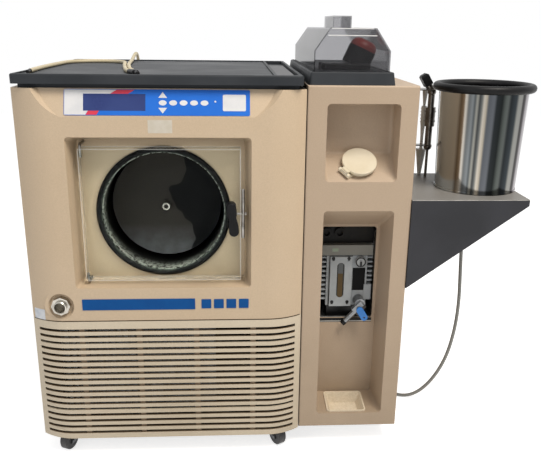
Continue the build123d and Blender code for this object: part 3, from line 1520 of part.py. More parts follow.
# Lead plug: moulded mains plug with two blades and an earth pin, lying beside the coil.
plug_radius = 13.5
plug_length = 34.0
plug_x = coil_mid.X - 39.0
plug_y = coil_mid.Y - coil_radius
plug_z = plug_radius + 0.1
with BuildPart() as lead_plug:
    with BuildSketch(from_side(plug_x)):
        with Locations((plug_y, plug_z)):
            Circle(lead_radius + 1)
    with BuildSketch(from_side(plug_x - 22)):
        with Locations((plug_y, plug_z)):
            Circle(plug_radius - 4)
    loft()
    with BuildSketch(from_side(plug_x - 22)):
        with Locations((plug_y, plug_z)):
            Circle(plug_radius)
    extrude(amount=-plug_length)
    fillet(lead_plug.faces().sort_by(Axis.X)[0].edges(), 2)
    for up in (-1, 1):
        block(plug_x - 22 - plug_length - 17, plug_x - 21 - plug_length, plug_y - 1 + up * 6.35,
              plug_y + 0.5 + up * 6.35, plug_z - 2, plug_z + 4.3)
    with BuildSketch(from_side(plug_x - 21 - plug_length)):
        with Locations((plug_y, plug_z - 8)):
            Circle(2.4)
    extrude(amount=-20)
write(lead_plug.part, "lead_plug")

# Probe ends: the two-lead plug that both probe leads enter, and the sensor's sleeve.
probe_plug_end = placed([(-348, 16, 0)])[0]
probe_plug_start = (placed(probe_route)[-1] + placed(sensor_route)[0]) / 2
plug_dir = Vector(probe_plug_end.X - probe_plug_start.X, probe_plug_end.Y - probe_plug_start.Y, 0)
plug_shift = plug_dir.normalized() * 0.1
plug_plane = Plane(origin=(probe_plug_start.X + plug_shift.X, probe_plug_start.Y + plug_shift.Y, on_cover),
                   x_dir=(0, 0, 1), z_dir=plug_dir)
sensor_end = placed(sensor_route)[-1]
with BuildPart() as probe_ends:
    with BuildSketch(plug_plane):
        RectangleRounded(9.4, 21, 4.5)
    with BuildSketch(plug_plane.offset(plug_dir.length * 0.6)):
        RectangleRounded(9.4, 15, 4.5)
    loft()
    with BuildSketch(plug_plane.offset(plug_dir.length * 0.6)):
        Circle(4.2)
    extrude(amount=plug_dir.length * 0.4)
    with BuildSketch(Plane(origin=sensor_end, z_dir=sensor_end - placed(sensor_route)[-2])):
        Circle(3.5)
    extrude(amount=26)
    fillet(probe_ends.faces().filter_by(GeomType.PLANE).sort_by(Axis.Y)[0].edges(), 2)
write(probe_ends.part, "probe_ends")
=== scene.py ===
from math import cos, pi, radians, sin

import bpy
import numpy as np
from mathutils import Matrix, Vector


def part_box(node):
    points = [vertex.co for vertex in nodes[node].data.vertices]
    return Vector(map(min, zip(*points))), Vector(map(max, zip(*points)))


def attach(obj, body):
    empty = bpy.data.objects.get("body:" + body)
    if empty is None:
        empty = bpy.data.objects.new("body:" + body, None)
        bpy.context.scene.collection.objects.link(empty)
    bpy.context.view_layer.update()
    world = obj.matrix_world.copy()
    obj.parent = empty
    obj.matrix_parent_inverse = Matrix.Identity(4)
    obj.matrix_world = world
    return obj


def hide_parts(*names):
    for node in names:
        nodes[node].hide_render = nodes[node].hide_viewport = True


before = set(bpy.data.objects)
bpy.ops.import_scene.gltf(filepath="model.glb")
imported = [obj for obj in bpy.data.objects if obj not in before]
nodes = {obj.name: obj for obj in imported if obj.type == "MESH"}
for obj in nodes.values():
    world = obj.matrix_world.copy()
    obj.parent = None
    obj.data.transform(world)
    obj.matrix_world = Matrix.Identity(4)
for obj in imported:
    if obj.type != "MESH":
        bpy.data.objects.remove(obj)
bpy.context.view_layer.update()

# ================================================================ room
# Pale matt studio paper under the machine, in a white room. Two soft round lamps light it: a
# warm one high in front on the right, and a weak cool one low on the left.


def linear(hex_code):
    """Linear colour of an sRGB hex value: the sRGB curve undone for each channel."""
    values = [int(hex_code[i:i + 2], 16) / 255 for i in (0, 2, 4)]
    return [v / 12.92 if v <= 0.04045 else ((v + 0.055) / 1.055) ** 2.4 for v in values] + [1.0]


def add_node(tree, kind, inputs=None, **settings):
    """Add a shader node of a kind, set its own properties, and fill inputs (by name or number)
    with values or with other nodes' sockets. Returns the node."""
    node = tree.nodes.new("ShaderNode" + kind)
    for name, value in settings.items():
        setattr(node, name, value)
    for name, value in (inputs or {}).items():
        if isinstance(value, bpy.types.NodeSocket):
            tree.links.new(value, node.inputs[name])
        else:
            node.inputs[name].default_value = value
    return node


def new_material(name):
    """Empty material: its node tree and its output node."""
    material = bpy.data.materials.new(name)
    material.use_nodes = True
    material.node_tree.nodes.clear()
    return material, material.node_tree, material.node_tree.nodes.new("ShaderNodeOutputMaterial")


def mesh_piece(name, points, faces, material, body="cabinet"):
    """Mesh object from lists of points in metres and of faces, riding on a body."""
    mesh = bpy.data.meshes.new(name)
    mesh.from_pydata(points, [], faces)
    mesh.update()
    piece = bpy.data.objects.new(name, mesh)
    bpy.context.scene.collection.objects.link(piece)
    mesh.materials.append(material)
    if body:
        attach(piece, body)
    return piece


def background_rays(tree):
    """One for a ray that shows the background: from the camera, off gloss or through glass."""
    path = add_node(tree, "LightPath")
    direct = add_node(tree, "Math", {0: path.outputs["Is Camera Ray"], 1: path.outputs["Is Glossy Ray"]},
                      operation="MAXIMUM")
    all_three = add_node(tree, "Math", {0: direct.outputs[0], 1: path.outputs["Is Transmission Ray"]},
                         operation="MAXIMUM")
    return all_three.outputs[0]


scene = bpy.context.scene
scene.view_settings.view_transform = "Standard"
world = bpy.data.worlds.new("studio_air")
scene.world = world
world.use_nodes = True
air = world.node_tree
air.nodes.clear()
seen = background_rays(air)
# the air lights the machine at about a third of white, and shows as white behind it
fill_light = add_node(air, "Background", {"Color": linear("FFFFFF"), "Strength": 0.36})
backdrop = add_node(air, "Background", {"Color": linear("FFFFFF"), "Strength": 1.0})
mix = add_node(air, "MixShader", {0: seen, 1: fill_light.outputs[0], 2: backdrop.outputs[0]})
add_node(air, "OutputWorld", {"Surface": mix.outputs[0]})

paper, tree, out = new_material("studio_paper")
matt = add_node(tree, "BsdfDiffuse", {"Color": linear("F4F4F4")})
# where the paper is seen, it is lifted most of the way to white, and keeps its shadow
paper_lift = 0.72
lift = add_node(tree, "Math", {0: background_rays(tree), 1: paper_lift}, operation="MULTIPLY")
glow = add_node(tree, "Emission", {"Color": linear("FFFFFF"), "Strength": lift.outputs[0]})
lit = add_node(tree, "AddShader", {0: matt.outputs[0], 1: glow.outputs[0]})
tree.links.new(lit.outputs[0], out.inputs["Surface"])
half = 6.0
floor = mesh_piece("floor", [(-half, -half, 0), (half, -half, 0), (half, half, 0), (-half, half, 0)],
                   [(0, 1, 2, 3)], paper, body=None)

aim = Vector((0, 0, 0.5))
for name, place, size, power, tint in (("key_light", (0.9, -1.45, 3.1), 1.4, 80, "FFF8EE"),
                                       ("side_light", (-2.2, -2.2, 1.8), 1.6, 12, "F4F8FF")):
    lamp = bpy.data.lights.new(name, "AREA")
    lamp.shape = "DISK"
    lamp.size = size
    lamp.energy = power
    lamp.color = linear(tint)[:3]
    holder = bpy.data.objects.new(name, lamp)
    holder.location = place
    holder.rotation_euler = (aim - Vector(place)).to_track_quat("-Z", "Y").to_euler()
    scene.collection.objects.link(holder)

# ================================================================ camera
# Held by hand a little above the deck and left of the middle, looking down at the machine, with
# a slight roll. The focal length is given for a picture of the width that follows it.
yaw, pitch, roll = radians(3.278), radians(17.184), radians(0.714)
eye = Vector((-0.1199, -1.6671, 0.9953))
ahead = Vector((sin(yaw) * cos(pitch), cos(yaw) * cos(pitch), -sin(pitch)))
level = Vector((cos(yaw), -sin(yaw), 0))
upward = level.cross(ahead)
right = level * cos(roll) + upward * sin(roll)
above = upward * cos(roll) - level * sin(roll)
lens = bpy.data.cameras.new("camera")
focal_length, picture_width = 663.9, 541.0
lens.sensor_width = 36.0
lens.lens = focal_length / picture_width * lens.sensor_width
lens.clip_end = 30
camera = bpy.data.objects.new("camera", lens)
camera.matrix_world = Matrix(((right.x, above.x, -ahead.x, eye.x),
                              (right.y, above.y, -ahead.y, eye.y),
                              (right.z, above.z, -ahead.z, eye.z), (0, 0, 0, 1)))
scene.collection.objects.link(camera)
scene.camera = camera

# most places below are given from the seam between cabinet and tower, and from the cabinet's front
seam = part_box("front_moulding")[1].x
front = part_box("front_moulding")[0].y

# ================================================================ leads
# Round flexible leads with a matt PVC sheath: the grey mains lead hangs from its gland under
# the shelf and runs along the floor to its coil, and two beige probe leads lie on the deck.
# Heights, in millimetres, are those of a lead's middle where it lies on the floor or the cover.
lead_diameter = 0.009
floor_z, deck_z = 4.6, 898.7


def sheath(name, colour, dark):
    """Plasticised PVC, extruded: a satin skin, a little dirty, of IOR 1.53."""
    material, tree, out = new_material(name)
    place = add_node(tree, "TexCoord")
    dirt = add_node(tree, "TexNoise", {"Vector": place.outputs["Object"], "Scale": 30.0, "Detail": 4.0})
    shade = add_node(tree, "Mix", {"Factor": dirt.outputs[0], 6: linear(dark), 7: linear(colour)},
                     data_type="RGBA")
    grain = add_node(tree, "TexNoise", {"Vector": place.outputs["Object"], "Scale": 900.0})
    bump = add_node(tree, "Bump", {"Height": grain.outputs[0], "Strength": 0.1, "Distance": 0.0003})
    body = add_node(tree, "BsdfPrincipled", {"Base Color": shade.outputs[2], "Roughness": 0.5, "IOR": 1.53,
                                             "Normal": bump.outputs[0]})
    tree.links.new(body.outputs[0], out.inputs["Surface"])
    return material


def lead_curve(name, points, material):
    """Smooth cord: a NURBS curve of order 3 whose control points are the route's."""
    curve = bpy.data.curves.new(name, "CURVE")
    curve.dimensions = "3D"
    curve.bevel_depth = lead_diameter / 2
    curve.bevel_resolution = 5
    curve.resolution_u = 8
    spline = curve.splines.new("NURBS")
    spline.points.add(len(points) - 1)
    for control, point in zip(spline.points, points):
        control.co = (*point, 1)
    spline.order_u = 3
    spline.use_endpoint_u = True
    curve.materials.append(material)
    piece = bpy.data.objects.new(name, curve)
    scene.collection.objects.link(piece)
    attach(piece, "cabinet")
    return piece


def from_seam(points):
    """Places in the frame, in metres, of points given in millimetres from the seam, the
    cabinet's front and the floor."""
    return (np.asarray(points) / 1000 + (seam, front, 0)).tolist()


grey_sheath = sheath("grey_pvc", "8F8F8B", "7C7C78")
beige_sheath = sheath("beige_pvc", "DCD0B0", "C9BB98")
hanging = [(430, 216, 594), (430, 216, 495), (437, 219, 392), (443, 220, 292), (438, 221, 205),
           (421, 222, 124), (386, 225, 55), (344, 231, 13), (300, 243, floor_z), (275, 287, floor_z),
           (268, 368, floor_z), (265, 466, floor_z), (259, 560, floor_z), (238, 604, floor_z),
           (200, 620.5, floor_z)]
# coil: three turns of about 100 mm, clockwise from above: one outside, one inside it, and one
# on top of the outer one, with each change of lane made in a quarter turn
coil_turns, coil_steps, coil_radius = 3, 12, 50.0
turn = np.arange(0, coil_turns * coil_steps + 1) / coil_steps
angle = -pi / 2 - 2 * pi * turn
half_lane, lead_step = 4.5, 9.0
coil_x, coil_y = 120, 670
lane = coil_radius + np.interp(turn, [0.75, 1.0, 1.75, 2.0], [half_lane, -half_lane, -half_lane, half_lane])
layer = np.interp(turn, [1.4, 1.7], [floor_z, floor_z + lead_step])
coil = np.stack([coil_x + lane * np.cos(angle), coil_y + lane * np.sin(angle), layer], axis=1)
tail = [(98, 617, 13.6), (81, 620, 13.6)]
power_lead = lead_curve("power_lead", from_seam(hanging + coil.tolist() + tail), grey_sheath)
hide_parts("lead", "lead_coil")
over_deck = [(-438, 612, 806), (-438, 654, 806), (-437, 685, 838), (-437, 684, 882), (-436, 652, 912),
             (-435, 602, 913), (-432, 547, 906), (-428, 484, deck_z), (-423, 416, deck_z),
             (-414, 338, deck_z), (-403, 261, deck_z), (-390, 184, deck_z), (-376.4, 112, deck_z),
             (-363.82, 76.84, deck_z)]
on_deck = [(-374.18, 73.16, deck_z), (-386.6, 108, deck_z), (-400, 184, deck_z), (-413, 261, deck_z),
           (-425, 338, deck_z), (-435, 419, deck_z), (-463.3, 457.9, deck_z), (-509, 472.8, deck_z),
           (-554.7, 457.9, deck_z), (-582, 419, deck_z), (-584, 340, deck_z), (-586, 262, deck_z),
           (-585, 185, deck_z), (-582, 110, deck_z), (-578, 64, deck_z)]
probe_cord = lead_curve("probe_cord", from_seam(over_deck), beige_sheath)
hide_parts("probe_lead")
sensor_cord = lead_curve("sensor_cord", from_seam(on_deck), beige_sheath)
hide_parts("sensor_lead")

# ================================================================ tan mouldings and panels
# Front moulding, grille and tower front: structural foam mouldings sprayed with textured
# paint, a fine stipple that stays matt and shows faint smudges and scuffs from years of use.


def stippled_paint(name, colour, worn, stipple=1.4, roughness=0.55, scuff=0.35, grime=0.5, grime_top=0.4):
    """Textured paint: the colour drifts over patches as wide as a hand, with specks of two or
    three millimetres, a stipple of the given pitch in millimetres, and grime that builds up
    below a height in metres, towards the floor."""
    material, tree, out = new_material(name)
    place = add_node(tree, "TexCoord")
    patches = add_node(tree, "TexNoise", {"Vector": place.outputs["Object"], "Scale": 6.0, "Detail": 5.0,
                                          "Roughness": 0.6})
    drift = add_node(tree, "MapRange", {0: patches.outputs[0], 1: 0.35, 2: 0.7, 3: 0.0, 4: scuff})
    shade = add_node(tree, "Mix", {"Factor": drift.outputs[0], 6: linear(colour), 7: linear(worn)},
                     data_type="RGBA")
    specks = add_node(tree, "TexNoise", {"Vector": place.outputs["Object"], "Scale": 420.0, "Detail": 2.0})
    fleck = add_node(tree, "MapRange", {0: specks.outputs[0], 1: 0.3, 2: 0.7, 3: 0.96, 4: 1.04})
    toned = add_node(tree, "VectorMath", {0: shade.outputs[2], "Scale": fleck.outputs[0]}, operation="SCALE")
    height = add_node(tree, "SeparateXYZ", {0: place.outputs["Object"]})
    rise = add_node(tree, "MapRange", {0: height.outputs["Z"], 1: 0.05, 2: grime_top, 3: grime, 4: 0.0})
    blotch = add_node(tree, "Math", {0: rise.outputs[0], 1: patches.outputs[0]}, operation="MULTIPLY")
    dirty = add_node(tree, "Mix", {"Factor": blotch.outputs[0], 6: toned.outputs[0], 7: linear("6E5F4A")},
                     data_type="RGBA")
    grain = add_node(tree, "TexNoise", {"Vector": place.outputs["Object"], "Scale": 1000.0 / stipple,
                                        "Detail": 2.0})
    bump = add_node(tree, "Bump", {"Height": grain.outputs[0], "Strength": 0.25, "Distance": 0.0004})
    gloss = add_node(tree, "MapRange", {0: patches.outputs[0], 1: 0.3, 2: 0.7, 3: roughness + 0.07,
                                        4: roughness - 0.07})
    body = add_node(tree, "BsdfPrincipled", {"Base Color": dirty.outputs[2], "Roughness": gloss.outputs[0],
                                             "IOR": 1.5, "Normal": bump.outputs[0]})
    tree.links.new(body.outputs[0], out.inputs["Surface"])
    return material


def dress(material, *names):
    """Give CAD nodes a better material."""
    for name in names:
        for holder in nodes[name].material_slots:
            holder.material = material


def lay_over(material, share, colour):
    """Cover a finish with another colour where the share, a node's socket, is one."""
    tree = material.node_tree
    body = tree.nodes["Principled BSDF"]
    under = body.inputs["Base Color"].links[0].from_socket
    mixed = add_node(tree, "Mix", {"Factor": share, 6: under, 7: linear(colour)}, data_type="RGBA")
    tree.links.new(mixed.outputs[2], body.inputs["Base Color"])


def within(tree, value, low, high):
    """One where the value, a node's socket, lies between two limits, else nought."""
    over = add_node(tree, "Math", {0: value, 1: low}, operation="GREATER_THAN")
    under = add_node(tree, "Math", {0: value, 1: high}, operation="LESS_THAN")
    both = add_node(tree, "Math", {0: over.outputs[0], 1: under.outputs[0]}, operation="MULTIPLY")
    return both.outputs[0]


tan_paint = stippled_paint("tan_textured_paint", "C9B499", "BDA688")
dress(tan_paint, "left_panel", "rear_panel")
# on the front moulding the well behind the door is painted darker with depth: painted shade under its top lip
moulding_paint = stippled_paint("tan_textured_paint_with_painted_well_shade", "C9B499", "BDA688")
tree = moulding_paint.node_tree
place = add_node(tree, "TexCoord")
axes = add_node(tree, "SeparateXYZ", {0: place.outputs["Object"]})
well_shade_depth = add_node(tree, "MapRange", {0: axes.outputs["Y"], 1: front + 0.012, 2: front + 0.05, 3: 0.0,
                                   4: 0.45})
well_sides = within(tree, axes.outputs["X"], seam - 0.5, seam - 0.11)
well_height = within(tree, axes.outputs["Z"], 0.41, 0.77)
well = add_node(tree, "Math", {0: well_sides, 1: well_height}, operation="MULTIPLY")
share = add_node(tree, "Math", {0: well_shade_depth.outputs[0], 1: well.outputs[0]}, operation="MULTIPLY")
lay_over(moulding_paint, share.outputs[0], "8E7C62")
dress(moulding_paint, "front_moulding")
cream_paint = stippled_paint("cream_textured_paint", "D3C6B0", "C6B79C")
dress(cream_paint, "front_grille")
# the grille's slots are painted dark brown, on the webs between them and on their upper and lower walls:
# painted shade inside the slots
slot_pitch, slot_first, slot_half, slot_count = 0.0155, 0.069, 0.00325, 18
tree = cream_paint.node_tree
place = add_node(tree, "TexCoord")
axes = add_node(tree, "SeparateXYZ", {0: place.outputs["Object"]})
first_row = (slot_first - slot_half) / slot_pitch
row = add_node(tree, "Math", {0: axes.outputs["Z"], 1: 1 / slot_pitch, 2: -first_row},
               operation="MULTIPLY_ADD")
phase = add_node(tree, "Math", {0: row.outputs[0]}, operation="FRACT")
open_part = within(tree, phase.outputs[0], -1.0, 2 * slot_half / slot_pitch)
slot_rows = within(tree, row.outputs[0], 0.0, slot_count - 0.3)
in_slot = add_node(tree, "Math", {0: open_part, 1: slot_rows}, operation="MULTIPLY")
slot_run = within(tree, axes.outputs["X"], seam - 0.595, seam - 0.015)
slot_shade = add_node(tree, "Math", {0: in_slot.outputs[0], 1: slot_run}, operation="MULTIPLY")
lay_over(cream_paint, slot_shade.outputs[0], "6F5D48")
tower_paint = stippled_paint("pinkish_textured_paint", "B5A18B", "AA957D")
dress(tower_paint, "tower_front", "right_panel")

# ================================================================ hidden sheet metal
# Zinc coated sheet: the pan, the centre panel and the pump's deck, dull grey with a spangle,
# and painted dark just behind the grille, with dust and painted shade.
zinc, tree, out = new_material("galvanised_sheet")
place = add_node(tree, "TexCoord")
spangle = add_node(tree, "TexVoronoi", {"Vector": place.outputs["Object"], "Scale": 90.0})
tone = add_node(tree, "Mix", {"Factor": spangle.outputs["Distance"], 6: linear("74777A"),
                              7: linear("95989A")}, data_type="RGBA")
axes = add_node(tree, "SeparateXYZ", {0: place.outputs["Object"]})
# just behind the grille the sheet is painted dark and loses its shine: dust and painted shade
dust_and_shade = within(tree, axes.outputs["Y"], -5.0, front + 0.12)
bare = add_node(tree, "Math", {0: dust_and_shade, 1: -0.5, 2: 0.5}, operation="MULTIPLY_ADD")
sheet = add_node(tree, "BsdfPrincipled", {"Base Color": tone.outputs[2], "Metallic": bare.outputs[0],
                                          "Roughness": 0.5, "Specular IOR Level": 0.1})
tree.links.new(sheet.outputs[0], out.inputs["Surface"])
lay_over(zinc, dust_and_shade, "1E1A16")
dress(zinc, "base_pan", "centre_panel", "pump_deck")

# ================================================================ plated fittings
# Drain port, hinge rods and latch rod: turned or bent steel with bright nickel plate that has
# dulled a little and holds finger marks.


def finish(name, colour, worn, roughness, metallic=0.0, patch=20.0, grain=0.0, grain_size=1.0, specular=0.5):
    """Solid finish: two close tones mixed over patches, so many to a metre, with a roughness
    that follows them and, where asked for, a raised grain whose size is in millimetres."""
    material, tree, out = new_material(name)
    place = add_node(tree, "TexCoord")
    wear = add_node(tree, "TexNoise", {"Vector": place.outputs["Object"], "Scale": patch, "Detail": 4.0})
    share = add_node(tree, "MapRange", {0: wear.outputs[0], 1: 0.35, 2: 0.65})
    tone = add_node(tree, "Mix", {"Factor": share.outputs[0], 6: linear(colour), 7: linear(worn)},
                    data_type="RGBA")
    gloss = add_node(tree, "MapRange", {0: wear.outputs[0], 1: 0.3, 2: 0.7, 3: roughness * 0.85,
                                        4: roughness * 1.15})
    body = add_node(tree, "BsdfPrincipled", {"Base Color": tone.outputs[2], "Roughness": gloss.outputs[0],
                                             "Metallic": metallic, "Specular IOR Level": specular})
    if grain:
        pits = add_node(tree, "TexNoise", {"Vector": place.outputs["Object"], "Scale": 1000 / grain_size,
                                           "Detail": 2.0})
        relief = add_node(tree, "Bump", {"Height": pits.outputs[0], "Strength": grain, "Distance": 0.0004})
        tree.links.new(relief.outputs[0], body.inputs["Normal"])
    tree.links.new(body.outputs[0], out.inputs["Surface"])
    return material


nickel = finish("dulled_nickel_plate", "C4C0B8", "A09C94", 0.22, metallic=1.0, patch=60)
dress(nickel, "drain_port")
bent_wire = finish("dull_plated_rod", "6E6C68", "A8A5A0", 0.3, metallic=1.0, patch=45)
dress(bent_wire, "hinge_rods", "latch_rod")

# ================================================================ covers
# Deck cover and tower cover: charcoal structural foam with a leather grain, rubbed a little
# paler where things are put down on it.
charcoal = finish("charcoal_grained_moulding", "292C30", "34373B", 0.5, patch=8, grain=0.2, grain_size=1.2,
                  specular=0.2)
dress(charcoal, "top_cover", "tower_cover")


def grid_faces(steps, around, ring=False):
    """Faces of a grid of points, numbered along each closed profile in turn. Point k of a
    profile joins point k + 1 of it and the same two of the next profile. The last profile joins
    the first where the path is a ring, and else each end is one flat face."""
    number = np.arange(steps * around).reshape(steps, around)
    following = np.roll(number, -1, axis=0)
    walls = np.stack([number, np.roll(number, -1, axis=1), np.roll(following, -1, axis=1), following],
                     axis=-1)
    if ring:
        return walls.reshape(-1, 4).tolist()
    return walls[:-1].reshape(-1, 4).tolist() + [number[0, ::-1].tolist(), number[-1].tolist()]


def swept(name, sections, material, body="cabinet"):
    """Closed profile carried along a path. The sections are a grid of points in millimetres,
    one row of the profile's points for each step of the path."""
    steps, around = sections.shape[:2]
    faces = grid_faces(steps, around)
    return mesh_piece(name, from_seam(sections.reshape(-1, 3)), faces, material, body)


def slab(name, low, high, material, body="cabinet", edge=0.0002):
    """Rectangular plate between two corners in millimetres: its outline carried straight up,
    with the edges broken."""
    (x0, y0, z0), (x1, y1, z1) = low, high
    outline = [(x0, y0), (x1, y0), (x1, y1), (x0, y1)]
    sections = np.array([[(x, y, z) for x, y in outline] for z in (z0, z1)])
    piece = swept(name, sections, material, body)
    rounding = piece.modifiers.new("edge", "BEVEL")
    rounding.width = edge
    rounding.segments = 2
    return piece


def corners(name):
    """Low and high corner of a node's box, in millimetres from the seam, the front and the floor."""
    return [((p.x - seam) * 1000, (p.y - front) * 1000, p.z * 1000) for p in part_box(name)]


# cable hatch: a loose flat lid in the channel along the tower side, with a finger gap round it,
# set in from the cover's side and front and sunk below its top
hatch_grey = finish("worn_grey_moulding", "56575A", "66676A", 0.6, patch=16, grain=0.4, grain_size=1.2)
hatch_width, hatch_length, hatch_thickness = 37.5, 403, 5
set_in, set_back, sunk = 15, 23, 3.8
(_, cover_front, _), (cover_side, _, cover_top) = corners("top_cover")
hatch_side, hatch_front, hatch_top = cover_side - set_in, cover_front + set_back, cover_top - sunk
slab("cable_hatch", (hatch_side - hatch_width, hatch_front, hatch_top - hatch_thickness),
     (hatch_side, hatch_front + hatch_length, hatch_top), hatch_grey, edge=0.0008)

# ================================================================ control panel
# Laminated membrane on the tilted face: blue film with printed fields, domed oval keys, a
# tinted display window and a bare pale label. Nothing is written on it.
blue_film = finish("blue_membrane_film", "1F68CC", "246ED2", 0.35, patch=12, grain=0.1, grain_size=0.8,
                   specular=0.25)
dress(blue_film, "control_panel")
white_film = finish("white_printed_film", "DFDFE0", "D2D3D6", 0.35, patch=30)
dress(white_film, "panel_white_print")
red_film = finish("red_printed_film", "D8364E", "CF3048", 0.35, patch=30)
dress(red_film, "panel_red_bars")
tinted = finish("tinted_display_window", "38477C", "323F74", 0.25, patch=14, specular=0.15)
dress(tinted, "display_window")
trim_blue = finish("deep_blue_printed_foil", "07498A", "0A5092", 0.35, patch=30, specular=0.12)
dress(trim_blue, "name_strip")

# ================================================================ bare plates
# Self-adhesive labels left bare: a pale one under the control panel, a white one low on the
# left corner, and a small one on the hood side of the pump's bar.
bare_label = finish("bare_paper_label", "CFC8BB", "C8C0B0", 0.6, patch=60)
slab("panel_label", (-331, -0.25, 779), (-281, 0.1, 806), bare_label)

# the front's bow: arcs of the moulding's own radius run in from both ends of the cabinet's width
cabinet_width, bow_run, bow_setback = -corners("front_moulding")[0][0], 80.0, 28.0
bow_radius = (bow_run ** 2 + bow_setback ** 2) / (2 * bow_setback)


def bowed_strip(name, across, into_bow, lean, stand_off, heights, material):
    """Thin strip along the bowed front: a four-cornered profile carried across it. The bow's
    depth is the radius less the root of radius squared less distance squared, the distance
    being that from where the arc starts. The profile lies between two distances off the
    surface, taken along a normal whose sine is the lean, and between two heights."""
    near, far = stand_off
    low, high = heights
    off = np.array([near, near, far, far])
    depth = bow_radius - np.sqrt(bow_radius ** 2 - into_bow ** 2)
    x = across[:, None] + lean[:, None] * off
    y = depth[:, None] - np.sqrt(1 - lean[:, None] ** 2) * off
    sections = np.stack(np.broadcast_arrays(x, y, np.array([low, high, high, low])), axis=-1)
    return swept(name, sections, material)


tag_white = finish("bare_white_label", "D9DCE0", "C3C9D2", 0.5, patch=90)
label_width, label_inset = 26, 6
across = np.linspace(0, label_width, 9) + label_inset - cabinet_width
into_bow = across + cabinet_width - bow_run
bowed_strip("corner_label", across, into_bow, into_bow / bow_radius, (0.05, 0.3), (356.5, 381), tag_white)

# dark strip in the joint between the front moulding and the grille, along the bowed front: a painted shadow
# under the moulding's edge
joint_shadow_paint = finish("brown_painted_joint_shadow", "3B3024", "4A3D2E", 0.9, patch=60, specular=0.1)
strip_inset, flat_step = 3, 30
across = np.concatenate([np.linspace(strip_inset, bow_run, 12) - cabinet_width,
                         np.linspace(bow_run + flat_step - cabinet_width, -bow_run - flat_step, 8),
                         np.linspace(-bow_run, -strip_inset, 12)])
into_bow = np.maximum(np.maximum(bow_run - cabinet_width - across, across + bow_run), 0)
joint_z, half_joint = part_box("front_grille")[1].z * 1000, 1.1
bowed_strip("joint_shadow_strip", across, into_bow, np.zeros(len(across)), (0.05, 0.25),
            (joint_z - half_joint, joint_z + half_joint), joint_shadow_paint)

# ================================================================ chamber
# Spun steel vessel behind the well, a dark plate across its middle, and the black rubber
# gasket that the door closes on, whitened in places by old vacuum grease.
vessel_steel, tree, out = new_material("spun_stainless_with_residue")
place = add_node(tree, "TexCoord")
inward = add_node(tree, "SeparateXYZ", {0: place.outputs["Object"]})
mouth_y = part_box("chamber_vessel")[0].y
near_mouth = add_node(tree, "MapRange", {0: inward.outputs["Y"], 1: mouth_y + 0.01, 2: mouth_y + 0.05,
                                         3: 1.0, 4: 0.0})
crust = add_node(tree, "TexNoise", {"Vector": place.outputs["Object"], "Scale": 130.0, "Detail": 6.0,
                                    "Roughness": 0.7})
crusted = add_node(tree, "MapRange", {0: crust.outputs[0], 1: 0.45, 2: 0.52})
share = add_node(tree, "Math", {0: near_mouth.outputs[0], 1: crusted.outputs[0]}, operation="MULTIPLY")
tone = add_node(tree, "Mix", {"Factor": share.outputs[0], 6: linear("2B2927"), 7: linear("A5A9A0")},
                data_type="RGBA")
bare = add_node(tree, "Math", {0: 1.0, 1: share.outputs[0]}, operation="SUBTRACT")
steel = add_node(tree, "BsdfPrincipled", {"Base Color": tone.outputs[2], "Metallic": bare.outputs[0],
                                          "Roughness": 0.42})
tree.links.new(steel.outputs[0], out.inputs["Surface"])
dress(vessel_steel, "chamber_vessel")
dark_plate, tree, out = new_material("dark_coated_plate_with_film")
plate_middle = (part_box("baffle_plate")[0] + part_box("baffle_plate")[1]) / 2
place = add_node(tree, "TexCoord")
offset = add_node(tree, "VectorMath", {0: place.outputs["Object"], 1: plate_middle},
                  operation="SUBTRACT")
sides = add_node(tree, "SeparateXYZ", {0: offset.outputs[0]})
edge = add_node(tree, "TexNoise", {"Vector": place.outputs["Object"], "Scale": 9.0, "Detail": 2.0})
wander = add_node(tree, "Math", {0: edge.outputs[0], 1: 0.22, 2: -0.125}, operation="MULTIPLY_ADD")
border = add_node(tree, "Math", {0: sides.outputs["X"], 1: wander.outputs[0]}, operation="ADD")
clean = add_node(tree, "MapRange", {0: border.outputs[0], 1: 0.0, 2: 0.004})
# towards its foot the plate is painted paler, in smears
foot = add_node(tree, "MapRange", {0: sides.outputs["Z"], 1: -0.115, 2: -0.05, 3: 1.0, 4: 0.0})
smears = add_node(tree, "TexNoise", {"Vector": place.outputs["Object"], "Scale": 40.0, "Detail": 5.0})
paler_foot = add_node(tree, "Math", {0: foot.outputs[0], 1: smears.outputs[0]}, operation="MULTIPLY")
filmed = add_node(tree, "Mix", {"Factor": paler_foot.outputs[0], 6: linear("35322F"), 7: linear("6C6E72")},
                  data_type="RGBA")
tone = add_node(tree, "Mix", {"Factor": clean.outputs[0], 6: filmed.outputs[2], 7: linear("1A1A1B")},
                data_type="RGBA")
coated = add_node(tree, "BsdfPrincipled", {"Base Color": tone.outputs[2], "Roughness": 0.45,
                                           "Specular IOR Level": 0.03})
tree.links.new(coated.outputs[0], out.inputs["Surface"])
dress(dark_plate, "baffle_plate")


def round_heads(name, centres, radius, reach, material, body="cabinet", hole=0.0):
    """Round heads or rings that face the front, in one mesh. Each is a stack of sixteen-sided
    rings about its centre: at angle a a point is the centre plus the rim's radius times cos a
    across and sin a up, and the rim's own reach to the front. A hole's radius leaves it open."""
    sides = 16
    rims = [(radius, 0.0), (radius, -reach * 0.6), (radius * 0.85, -reach)]
    rims += [(hole, -reach), (hole, 0.0)] if hole else []
    rim, forward = np.array(rims).T[:, :, None]
    turned = 2 * pi * np.arange(sides) / sides
    head = np.stack(np.broadcast_arrays(rim * np.cos(turned), forward, rim * np.sin(turned)), axis=-1)
    points = np.array(centres)[:, None] + head.reshape(-1, 3)
    head_faces = grid_faces(len(rims), sides, ring=bool(hole))
    starts = range(0, len(centres) * len(rims) * sides, len(rims) * sides)
    faces = [[start + number for number in face] for start in starts for face in head_faces]
    return mesh_piece(name, from_seam(points.reshape(-1, 3)), faces, material, body)


